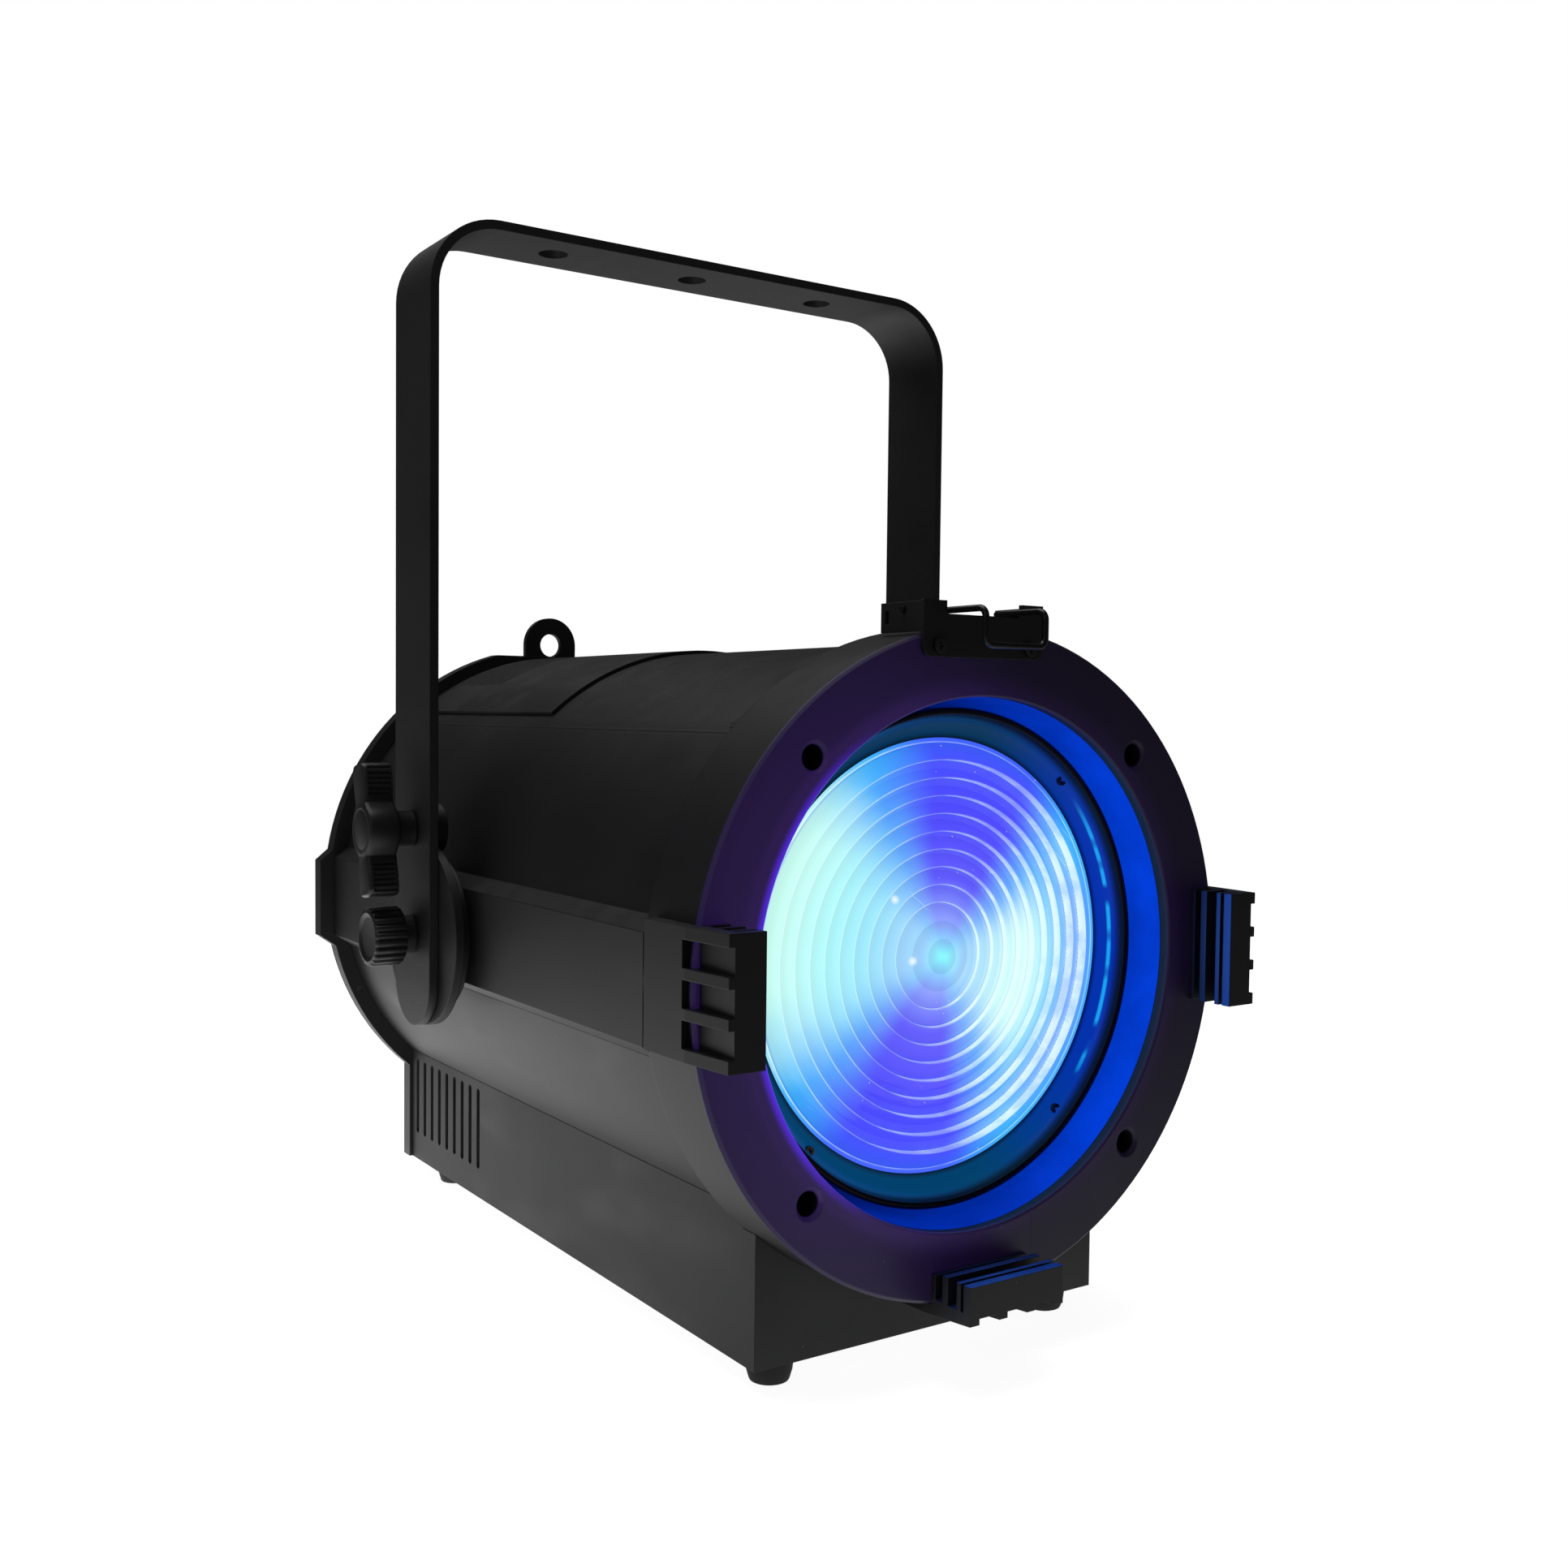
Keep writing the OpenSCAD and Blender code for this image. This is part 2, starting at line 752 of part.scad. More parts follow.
module heat_sink() {
    base_t = 7;
    color("#8e9197") in_lamp() intersection() {
        rod_y(sink_r, sink_y, fan_y - 3);
        union() {
            block([-sink_r, sink_y, -sink_r], [sink_r, sink_y + base_t, sink_r]);
            for (i = [0 : fins - 1]) {
                translate([(i - (fins - 1) / 2) * fin_pitch, 0, 0])
                    block([-fin_t / 2, sink_y, -sink_r], [fin_t / 2, fan_y - 3, sink_r]);
            }
        }
    }
}

module fan_frame() {
    hub_r = 19;
    color("#1a1a1c") in_lamp() {
        difference() {
            block([-fan_half, fan_y, -fan_half], [fan_half, fan_y + fan_len, fan_half]);
            rod_y(fan_bore, fan_y - 1, fan_y + fan_len + 1);
            for (x = [-52.5, 52.5], z = [-52.5, 52.5]) {
                translate([x, 0, z]) rod_y(2.2, fan_y - 1, fan_y + fan_len + 1);
            }
        }
        difference() {
            union() {
                rod_y(hub_r, fan_y + fan_len - 3, fan_y + fan_len);
                for (turn = [45, 135]) {
                    rotate([0, turn, 0]) block([-fan_bore - 2, fan_y + fan_len - 3, -2.5],
                        [fan_bore + 2, fan_y + fan_len, 2.5]);
                }
            }
            rod_y(2 + run, fan_y + fan_len - 4, fan_y + fan_len + 1);
        }
    }
}

module fan_rotor() {
    color("#232326") in_lamp() {
        rod_y(2, fan_y + 4, fan_y + fan_len);
        rod_y(19, fan_y + 3, fan_y + 20);
        intersection() {
            tube_y(56, 17, fan_y + 3, fan_y + 20);
            for (i = [0 : blades - 1]) {
                rotate([0, i * 360 / blades, 0]) translate([36, fan_y + 11.5, 0]) rotate([38, 0, 0])
                    cube([44, 1.8, 30], center = true);
            }
        }
    }
}

module fan_shroud() {
    y0 = fan_y + fan_len;
    color("#77797d") in_lamp() difference() {
        intersection() {
            rod_y(tube_r - shell_t, y0, y0 + 2);
            block([-150, y0 - 1, -100], [150, y0 + 3, 150]);
        }
        rod_y(fan_bore, y0 - 1, y0 + 3);
        for (x = [-52.5, 52.5], z = [-52.5, 52.5]) {
            translate([x, 0, z]) rod_y(2.2, y0 - 1, y0 + 3);
        }
    }
}

// ---- Electronics and rear panel -------------------------------------------------------------------

module power_supply() {
    low = box_z + 2;
    color("#a7aab0") in_lamp() difference() {
        block([-52, 60, low], [52, 260, low + 24]);
        for (i = [0 : 11]) {
            block([-40, 90 + i * 12, low + 22.5], [40, 96 + i * 12, low + 25]);
        }
    }
}

module driver_board() {
    low = box_z + 2;
    color("#1f5a35") in_lamp() {
        block([-60, 285, low + 6], [60, 400, low + 7.6]);
        for (x = [-54, 54], y = [291, 394]) {
            translate([x, y, low]) cylinder(r = 3, h = 6);
        }
        for (i = [0 : 2]) {
            translate([-36 + i * 30, 305, low + 7.6]) cylinder(r = 8, h = 9);
            block([-44 + i * 30, 340, low + 7.6], [-26 + i * 30, 366, low + 13]);
        }
    }
}

module control_panel() {
    y0 = head_len;
    color("#2a2b2f") in_lamp() difference() {
        union() {
            block([-panel_half, y0, panel_z - panel_h / 2], [panel_half, y0 + 1.5, panel_z + panel_h / 2]);
            block([-panel_half + 6, y0 - 6, panel_z - 12], [panel_half - 6, y0, panel_z + 12]);
        }
        block([-60, y0 - 3, panel_z - 10], [12, y0 + 2, panel_z + 10]);
        for (i = [0 : 3]) {
            translate([button_x0 + i * button_pitch, 0, panel_z])
                rod_y(button_r + 0.15, y0 - 4, y0 + 2);
        }
        for (x = [-panel_half + 3, panel_half - 3], z = [-12, 12]) {
            translate([x, 0, panel_z + z]) rod_y(1.2, y0 - 1, y0 + 2);
        }
    }
}

module display_window() {
    color("#101820") in_lamp() block([-60, head_len - 3, panel_z - 10], [12, head_len + 0.6, panel_z + 10]);
}

module button(i) {
    color("#c9ccd1") in_lamp() translate([button_x0 + (i - 1) * button_pitch, 0, panel_z])
        rod_y(button_r, head_len - 2.2, head_len + 3.5);
}

// Panel socket with a flange, a barrel and a round recess
module socket_shell(x, recess_r, recess_len) {
    translate([x, 0, socket_z]) difference() {
        union() {
            block([-13, head_len, -15.5], [13, head_len + 2, 15.5]);
            rod_y(12, head_len - 22, head_len);
        }
        rod_y(recess_r, head_len + 2 - recess_len, head_len + 3);
    }
}

// Twist-lock power socket with a middle core
module power_socket(x, tint) {
    color(tint) in_lamp() {
        socket_shell(x, 9.8, 14);
        translate([x, 0, socket_z]) rod_y(3.8, head_len - 13, head_len - 1);
    }
}

module data_inlet() {
    color("#b4b7bc") in_lamp() {
        socket_shell(12, 9, 14);
        for (a = [30 : 60 : 270]) {
            translate([12, 0, socket_z]) at_polar(5.2, a) rod_y(0.7, head_len - 13, head_len - 1);
        }
    }
}

module data_outlet() {
    color("#b4b7bc") in_lamp() difference() {
        socket_shell(48, 9, 1);
        for (a = [30 : 60 : 270]) {
            translate([48, 0, socket_z]) at_polar(5.2, a) rod_y(0.9, head_len - 12, head_len + 3);
        }
    }
}

// ---- Yoke and tilt joint --------------------------------------------------------------------------

// Solid arch with rounded top corners, drawn through the bar's width
module arch(x, top, r) {
    y0 = pivot_y - bar_w / 2;
    y1 = pivot_y + bar_w / 2;
    block([-x, y0, -100], [x, y1, top - r]);
    block([-x + r, y0, top - r], [x - r, y1, top]);
    for (side = [-1, 1]) {
        translate([side * (x - r), 0, top - r]) rod_y(r, y0, y1);
    }
}

module yoke() {
    end_z = pivot_z - disc_r + bar_w / 2;
    color("#1b1b1e") in_lamp() difference() {
        arch(yoke_x, yoke_top, bend_r);
        yoke_inside();
        difference() {
            block([-200, pivot_y - 40, -120], [200, pivot_y + 40, end_z]);
            translate([0, pivot_y, end_z]) rod_x(bar_w / 2, -210, 210);
        }
        for (i = [-1 : 1]) {
            translate([i * hang_pitch, pivot_y, yoke_top - 20]) cylinder(r = hang_r, h = 40);
        }
        translate([0, pivot_y, pivot_z]) rod_x(arm_bush_r, -200, 200);
        translate([0, pivot_y, lock_z]) rod_x(stud_r + 0.5, -200, 200);
    }
}

// Space between the yoke's arms, cut past the bar's width
module yoke_inside() {
    r = bend_r - bar_t;
    x = yoke_x - bar_t;
    top = yoke_top - bar_t;
    y0 = pivot_y - bar_w;
    y1 = pivot_y + bar_w;
    block([-x, y0, -150], [x, y1, top - r]);
    block([-x + r, y0, top - r - 1], [x - r, y1, top]);
    for (side = [-1, 1]) {
        translate([side * (x - r), 0, top - r]) rod_y(r, y0, y1);
    }
}

module at_pivot(side, height) {
    in_lamp() on_side(side) translate([0, pivot_y, height]) children();
}

module pivot_disc(side) {
    color("#151517") at_pivot(side, pivot_z) difference() {
        union() {
            rod_x(boss_r, rail_x, disc_x0);
            rod_x(disc_r, disc_x0, disc_x1);
        }
        rod_x(bolt_r, rail_x - 1, disc_x1 + 1);
    }
}

module pivot_bolts() {
    color("#8c8f94") for (side = [-1, 1]) {
        at_pivot(side, pivot_z) {
            rod_x(bolt_r, rail_x - shell_t, 183);
            rod_x(8.5, rail_x - shell_t - 6, rail_x - shell_t);
        }
    }
}

module arm_bushes() {
    color("#b08d4a") for (side = [-1, 1]) {
        at_pivot(side, pivot_z) difference() {
            rod_x(arm_bush_r, arm_in, yoke_x);
            rod_x(bolt_r + run, arm_in - 1, yoke_x + 1);
        }
    }
}

module clamp_shoes() {
    color("#55585d") for (side = [-1, 1]) {
        at_pivot(side, lock_z) difference() {
            rod_x(shoe_r, 151, arm_in);
            translate([0, 0, -lock_rise]) rod_x(disc_r + 0.4, disc_x0 - 0.3, arm_in + 1);
            rod_x(stud_r, 150, arm_in + 1);
        }
    }
}

module pivot_knob(side) {
    grip_r = 15.2;
    x0 = yoke_x + knob_gap;
    color("#111113") at_pivot(side, pivot_z) difference() {
        union() {
            rod_x(10, x0, x0 + 7);
            rod_x(grip_r, x0 + 7, x0 + 24);
        }
        rod_x(bolt_r + run, x0 - 1, 184);
        rod_x(11, x0 + 23, x0 + 25);
        for (i = [0 : 23]) {
            rotate([i * 15, 0, 0]) translate([0, 0, grip_r + 0.5]) rod_x(1.3, x0 + 8, x0 + 25);
        }
    }
}

module lock_knob(side) {
    x0 = yoke_x + knob_gap;
    half = 34.5;
    lobe_r = 8;
    color("#111113") at_pivot(side, lock_z) rotate([-lock_tilt, 0, 0]) difference() {
        union() {
            rod_x(stud_r - run, 152, x0 + 10);
            rod_x(9.5, x0, x0 + 11);
            rod_x(14, x0 + 11, x0 + 27);
            block([x0 + 11, -lobe_r, -half + lobe_r], [x0 + 27, lobe_r, half - lobe_r]);
            for (z = [-1, 1]) {
                translate([0, 0, z * (half - lobe_r)]) rod_x(lobe_r, x0 + 11, x0 + 27);
            }
        }
        rod_x(11, x0 + 26, x0 + 28);
        for (up = [-1, 1], edge = [-1, 1], i = [0 : 5]) {
            translate([0, edge * (lobe_r + 0.4), up * (16 + i * 2.6)]) rod_x(0.9, x0 + 12, x0 + 28);
        }
    }
}

// ---- Nodes ----------------------------------------------------------------------------------------

front_ring();
lens_sleeve();
front_bulkhead();
upper_shell();
side_rail(-1);  // side_rail_left
side_rail(1);  // side_rail_right
lower_skirt(-1);  // lower_skirt_left
lower_skirt(1);  // lower_skirt_right
vent_cover();
rear_cover();
safety_eye();
driver_box();
rubber_feet();
foot_screws();
placed_clip(180, clip_rear_y);  // gel_clip_left
placed_clip(0, clip_rear_y);  // gel_clip_right
placed_clip(270, clip_low_rear_y);  // gel_clip_bottom
front_screws();
latch_bracket();
latch_bail();
lens_holder();
fresnel_lens();
lens_barrel();
holder_screws();
slide_bushes();
lead_nut();
guide_rods();
lead_screw();
zoom_motor();
rear_bulkhead();
led_board();
led_emitters();
mixing_reflector();
heat_sink();
fan_frame();
fan_rotor();
fan_shroud();
power_supply();
driver_board();
control_panel();
display_window();
button(1);  // button_1
button(2);  // button_2
button(3);  // button_3
button(4);  // button_4
power_socket(-72, "#2f5fb0");  // power_inlet
power_socket(-36, "#b9bcc2");  // power_outlet
data_inlet();
data_outlet();
yoke();
pivot_disc(-1);  // pivot_disc_left
pivot_disc(1);  // pivot_disc_right
pivot_bolts();
arm_bushes();
clamp_shoes();
pivot_knob(-1);  // pivot_knob_left
pivot_knob(1);  // pivot_knob_right
lock_knob(-1);  // lock_knob_left
lock_knob(1);  // lock_knob_right
case_screws();
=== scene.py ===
"""Fresnel spotlight on its bar yoke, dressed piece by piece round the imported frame.

All lengths are in metres. The lamp points along -Y and stands on the floor at z = 0.
"""

import json
import logging
import math
from dataclasses import dataclass
from enum import Enum

import bmesh
import bpy
from mathutils import Matrix, Vector

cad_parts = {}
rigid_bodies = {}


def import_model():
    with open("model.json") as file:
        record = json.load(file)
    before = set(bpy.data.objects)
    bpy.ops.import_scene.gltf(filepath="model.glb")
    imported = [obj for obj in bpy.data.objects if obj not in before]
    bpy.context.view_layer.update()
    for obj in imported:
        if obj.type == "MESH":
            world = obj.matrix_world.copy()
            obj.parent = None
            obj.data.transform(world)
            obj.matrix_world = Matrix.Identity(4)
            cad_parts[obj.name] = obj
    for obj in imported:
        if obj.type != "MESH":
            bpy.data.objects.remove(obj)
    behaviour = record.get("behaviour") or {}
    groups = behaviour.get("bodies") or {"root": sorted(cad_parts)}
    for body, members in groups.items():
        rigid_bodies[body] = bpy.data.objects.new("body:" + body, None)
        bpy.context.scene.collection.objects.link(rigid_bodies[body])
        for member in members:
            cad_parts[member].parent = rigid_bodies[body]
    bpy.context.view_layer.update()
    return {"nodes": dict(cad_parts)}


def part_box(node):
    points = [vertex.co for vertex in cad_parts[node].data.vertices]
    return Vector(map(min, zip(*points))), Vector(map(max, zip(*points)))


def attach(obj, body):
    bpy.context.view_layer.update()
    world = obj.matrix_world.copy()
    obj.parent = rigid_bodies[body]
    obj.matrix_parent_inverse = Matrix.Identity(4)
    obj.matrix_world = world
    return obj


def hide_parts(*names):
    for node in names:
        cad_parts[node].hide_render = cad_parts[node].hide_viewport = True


for leftover in list(bpy.data.objects):
    bpy.data.objects.remove(leftover)
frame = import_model()

log = logging.getLogger("fresnel_spotlight")

Colour = tuple[float, float, float]
Point = tuple[float, float, float]
Profile = list[tuple[float, float]]
Stops = list[tuple[float, Colour]]
Socket = bpy.types.NodeSocket

BLACK: Colour = (0.0, 0.0, 0.0)
FINE = 0.00002
SMOOTH = 0.00001


# ---- Where things are -----------------------------------------------------------------------------


@dataclass(frozen=True)
class LampAxis:
    """The lamp's own frame: the optical axis, and depths behind the ring's face."""

    face_y: float
    height: float

    def at(self, x: float, y: float, z: float) -> Vector:
        """Returns the row-frame place of a point given beside, behind and above the ring's centre."""
        return Vector((x, self.face_y + y, self.height + z))


def find_axis() -> LampAxis:
    """Reads the optical axis off the front ring.

    Returns:
        The lamp's frame, from the ring's box.
    """
    low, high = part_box("front_ring")
    return LampAxis(low.y, (low.z + high.z) / 2)


AXIS = find_axis()


def middle_of(node: str) -> Vector:
    """Returns the centre of a CAD node's box."""
    low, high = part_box(node)
    return (low + high) / 2


# ---- Shader building ------------------------------------------------------------------------------


class Effect(Enum):
    """Surface effects that several finishes share, each one a node group."""

    GRAIN = "Powder Grain"
    DUST = "Dust And Smudges"
    EDGES = "Rounded Edges"
    AXIS = "Round The Axis"


class Blend(Enum):
    """Ways to lay one colour over another."""

    MIX = "MIX"
    MULTIPLY = "MULTIPLY"


class Graph:
    """Adds nodes to one node tree and joins them up."""

    def __init__(self, tree: bpy.types.NodeTree) -> None:
        """Starts on a tree.

        Args:
            tree: The node tree to build in.
        """
        self.tree = tree

    def add(self, kind: str, **settings: object) -> bpy.types.Node:
        """Adds a node.

        Args:
            kind: The node's type name.
            settings: Values for the node's own properties.

        Returns:
            The new node.
        """
        node = self.tree.nodes.new(kind)
        for key, value in settings.items():
            setattr(node, key, value)
        return node

    def feed(self, socket: Socket, value: object) -> None:
        """Joins another socket to an input, or sets the input's own value.

        Args:
            socket: The input.
            value: A socket, number, vector or colour.
        """
        if isinstance(value, bpy.types.NodeSocket):
            self.tree.links.new(value, socket)
        elif isinstance(value, tuple) and len(value) == 3 and socket.type == "RGBA":
            socket.default_value = (*value, 1.0)
        else:
            socket.default_value = value

    def math(self, operation: str, *values: object, clamp: bool = False) -> Socket:
        """Adds a Math node.

        Args:
            operation: Blender's name for the operation.
            values: Its inputs, in order.
            clamp: Whether the answer is held between 0 and 1.

        Returns:
            The answer's socket.
        """
        node = self.add("ShaderNodeMath", operation=operation, use_clamp=clamp)
        for socket, value in zip(node.inputs, values):
            self.feed(socket, value)
        return node.outputs[0]

    def times(self, first: object, *others: object) -> Socket:
        """Returns the product of two or more values."""
        for other in others:
            first = self.math("MULTIPLY", first, other)
        return first

    def split(self, vector: Socket) -> tuple[Socket, Socket, Socket]:
        """Returns the X, Y and Z of a vector."""
        node = self.add("ShaderNodeSeparateXYZ")
        self.feed(node.inputs[0], vector)
        return node.outputs[0], node.outputs[1], node.outputs[2]

    def stretch(self, vector: Socket, factors: Point) -> Socket:
        """Returns the vector times a factor along each axis."""
        node = self.add("ShaderNodeVectorMath", operation="MULTIPLY")
        self.feed(node.inputs[0], vector)
        self.feed(node.inputs[1], factors)
        return node.outputs[0]

    def noise(self, vector: Socket, scale: object, detail: float = 2.0, roughness: float = 0.5) -> Socket:
        """Adds a Noise texture.

        Args:
            vector: Where to read it.
            scale: Features per metre, a number or a socket.
            detail: How many finer layers it has.
            roughness: How strong the finer layers are.

        Returns:
            The noise value, about 0.5 on average.
        """
        node = self.add("ShaderNodeTexNoise")
        values = {"Vector": vector, "Scale": scale, "Detail": detail, "Roughness": roughness}
        for name, value in values.items():
            self.feed(node.inputs[name], value)
        return node.outputs["Fac"]

    def cells(self, vector: Socket, scale: float) -> tuple[Socket, Socket]:
        """Returns the distance to the nearest cell centre, and that cell's random number."""
        node = self.add("ShaderNodeTexVoronoi")
        self.feed(node.inputs["Vector"], vector)
        self.feed(node.inputs["Scale"], scale)
        red = self.add("ShaderNodeSeparateColor")
        self.feed(red.inputs[0], node.outputs["Color"])
        return node.outputs["Distance"], red.outputs[0]

    def remap(
        self, value: Socket, low: float, high: float, out_low: object = 0.0, out_high: object = 1.0
    ) -> Socket:
        """Adds a smooth step from one range to another.

        Args:
            value: What to remap.
            low: The value that gives out_low.
            high: The value that gives out_high.
            out_low: The answer at and below low.
            out_high: The answer at and above high.

        Returns:
            The remapped value.
        """
        node = self.add("ShaderNodeMapRange", interpolation_type="SMOOTHSTEP")
        for socket, number in zip(node.inputs, (value, low, high, out_low, out_high)):
            self.feed(socket, number)
        return node.outputs[0]

    def mix(self, share: object, first: object, second: object, how: Blend = Blend.MIX) -> Socket:
        """Mixes two colours.

        Args:
            share: How much of the second, from 0 to 1.
            first: The colour underneath.
            second: The colour laid over it.
            how: The way they combine.

        Returns:
            The mixed colour.
        """
        node = self.add("ShaderNodeMix", data_type="RGBA", blend_type=how.value)
        self.feed(node.inputs[0], share)
        self.feed(node.inputs[6], first)
        self.feed(node.inputs[7], second)
        return node.outputs[2]

    def grey(self, value: Socket) -> Socket:
        """Returns a grey of the given brightness."""
        node = self.add("ShaderNodeCombineColor")
        for socket in node.inputs:
            self.feed(socket, value)
        return node.outputs[0]

    def ramp(self, value: Socket, stops: Stops) -> Socket:
        """Adds a colour ramp.

        Args:
            value: Where along the ramp, from 0 to 1.
            stops: Places and colours in rising order.

        Returns:
            The ramp's colour.
        """
        node = self.add("ShaderNodeValToRGB")
        elements = node.color_ramp.elements
        while len(elements) < len(stops):
            elements.new(1.0)
        for element, (place, colour) in zip(elements, stops):
            element.position = place
            element.color = (*colour, 1.0)
        self.feed(node.inputs[0], value)
        return node.outputs[0]

    def bump(self, height: Socket, distance: float, normal: Socket | None = None) -> Socket:
        """Adds a Bump node.

        Args:
            height: The height, from 0 to 1.
            distance: What a height of 1 stands for, in metres.
            normal: The normal underneath, if it isn't the mesh's own.

        Returns:
            The bumped normal.
        """
        node = self.add("ShaderNodeBump")
        self.feed(node.inputs["Height"], height)
        self.feed(node.inputs["Distance"], distance)
        node.inputs["Strength"].default_value = 1.0
        if normal is not None:
            self.feed(node.inputs["Normal"], normal)
        return node.outputs[0]

    def effect(self, group: bpy.types.NodeTree, **values: object) -> bpy.types.Node:
        """Places a node group.

        Args:
            group: The group's tree.
            values: Its inputs by name, with underscores for spaces.

        Returns:
            The group node.
        """
        node = self.add("ShaderNodeGroup", node_tree=group)
        for key, value in values.items():
            self.feed(node.inputs[key.replace("_", " ")], value)
        return node


class EffectShelf:
    """Builds each shared node group once, when a finish first asks for it."""

    def __init__(self) -> None:
        """Starts with nothing built."""
        self.built: dict[Effect, bpy.types.NodeTree] = {}

    def get(self, effect: Effect) -> bpy.types.NodeTree:
        """Returns the node group of an effect."""
        if effect not in self.built:
            makers = {
                Effect.GRAIN: self.make_grain,
                Effect.DUST: self.make_dust,
                Effect.EDGES: self.make_edges,
                Effect.AXIS: self.make_axis,
            }
            self.built[effect] = makers[effect]()
            log.info("effect %s", effect.value)
        return self.built[effect]

    def open_group(
        self, effect: Effect, inputs: dict[str, tuple[str, object]], outputs: dict[str, str]
    ) -> tuple[Graph, dict[str, Socket], bpy.types.Node]:
        """Makes an empty node group with its sockets.

        Args:
            effect: The effect, whose value names the group.
            inputs: Each input's kind and starting value, which is None for a vector.
            outputs: Each output's kind.

        Returns:
            A graph to build in, the input sockets by name, and the output node.
        """
        tree = bpy.data.node_groups.new(effect.value, "ShaderNodeTree")
        for name, (kind, value) in inputs.items():
            socket = tree.interface.new_socket(name=name, in_out="INPUT", socket_type=f"NodeSocket{kind}")
            if value is not None:
                socket.default_value = value
        for name, kind in outputs.items():
            tree.interface.new_socket(name=name, in_out="OUTPUT", socket_type=f"NodeSocket{kind}")
        graph = Graph(tree)
        entry = graph.add("NodeGroupInput")
        leave = graph.add("NodeGroupOutput")
        return graph, {name: entry.outputs[name] for name in inputs}, leave

    def make_grain(self) -> bpy.types.NodeTree:
        """Makes the orange-peel grain of powder coat and moulded plastic.

        Returns:
            A group that puts out a bump height and two masks.
        """
        graph, given, leave = self.open_group(
            Effect.GRAIN,
            {"Vector": ("Vector", None), "Density": ("Float", 1500.0)},
            {"Height": "Float", "Mottle": "Float", "Sparkle": "Float"},
        )
        fine = graph.noise(given["Vector"], given["Density"], 3.0, 0.6)
        coarse = graph.noise(given["Vector"], graph.times(given["Density"], 0.35), 2.0, 0.5)
        height = graph.math("ADD", graph.times(fine, 0.65), graph.times(coarse, 0.35))
        graph.feed(leave.inputs["Height"], height)
        cloud = graph.noise(given["Vector"], 14.0, 4.0, 0.55)
        graph.feed(leave.inputs["Mottle"], graph.remap(cloud, 0.32, 0.7))
        graph.feed(leave.inputs["Sparkle"], graph.remap(fine, 0.62, 0.78))
        return graph.tree

    def make_dust(self) -> bpy.types.NodeTree:
        """Makes settled dust, stray specks and wiped smudges.

        Returns:
            A group that puts out a mask for each.
        """
        graph, given, leave = self.open_group(
            Effect.DUST,
            {"Vector": ("Vector", None), "Amount": ("Float", 1.0)},
            {"Dust": "Float", "Specks": "Float", "Smudge": "Float"},
        )
        facing = graph.split(graph.add("ShaderNodeNewGeometry").outputs["Normal"])[2]
        lying = graph.remap(facing, 0.35, 1.0)
        cloud = graph.remap(graph.noise(given["Vector"], 60.0, 5.0, 0.65), 0.42, 0.75)
        dust = graph.times(lying, cloud, given["Amount"])
        graph.feed(leave.inputs["Dust"], dust)
        distance, chance = graph.cells(given["Vector"], 95.0)
        dot = graph.remap(distance, 0.055, 0.03)
        rare = graph.math("GREATER_THAN", chance, 0.86)
        specks = graph.times(dot, rare, given["Amount"])
        graph.feed(leave.inputs["Specks"], specks)
        wiped = graph.noise(graph.stretch(given["Vector"], (1.0, 0.35, 1.0)), 22.0, 3.0, 0.5)
        graph.feed(leave.inputs["Smudge"], graph.remap(wiped, 0.45, 0.72))
        return graph.tree

    def make_edges(self) -> bpy.types.NodeTree:
        """Makes softly rounded edges, with a mask where the coat is rubbed thin on them.

        Returns:
            A group that puts out a normal and the rubbed mask.
        """
        graph, given, leave = self.open_group(
            Effect.EDGES,
            {"Vector": ("Vector", None), "Radius": ("Float", 0.0006), "Rub": ("Float", 0.5)},
            {"Normal": "Vector", "Rubbed": "Float"},
        )
        bevel = graph.add("ShaderNodeBevel", samples=6)
        graph.feed(bevel.inputs["Radius"], given["Radius"])
        flat = graph.add("ShaderNodeNewGeometry").outputs["Normal"]
        dot = graph.add("ShaderNodeVectorMath", operation="DOT_PRODUCT")
        graph.feed(dot.inputs[0], bevel.outputs[0])
        graph.feed(dot.inputs[1], flat)
        turned = graph.math("SUBTRACT", 1.0, dot.outputs["Value"])
        edge = graph.remap(turned, 0.04, 0.22)
        broken = graph.remap(graph.noise(given["Vector"], 420.0, 4.0, 0.7), 0.50, 0.66)
        worn = graph.math("MULTIPLY", graph.times(edge, broken), given["Rub"], clamp=True)
        graph.feed(leave.inputs["Normal"], bevel.outputs[0])
        graph.feed(leave.inputs["Rubbed"], worn)
        return graph.tree

    def make_axis(self) -> bpy.types.NodeTree:
        """Makes polar coordinates round the optical axis.

        Returns:
            A group that puts out the radius and the direction's two parts, right and up.
        """
        graph, given, leave = self.open_group(
            Effect.AXIS,
            {"Vector": ("Vector", None), "Height": ("Float", 0.184)},
            {"Radius": "Float", "Right": "Float", "Up": "Float"},
        )
        x, _, z = graph.split(given["Vector"])
        high = graph.math("SUBTRACT", z, given["Height"])
        squares = graph.math("ADD", graph.times(x, x), graph.times(high, high))
        radius = graph.math("MAXIMUM", graph.math("SQRT", squares), 1e-6)
        graph.feed(leave.inputs["Radius"], radius)
        graph.feed(leave.inputs["Right"], graph.math("DIVIDE", x, radius))
        graph.feed(leave.inputs["Up"], graph.math("DIVIDE", high, radius))
        return graph.tree


SHELF = EffectShelf()


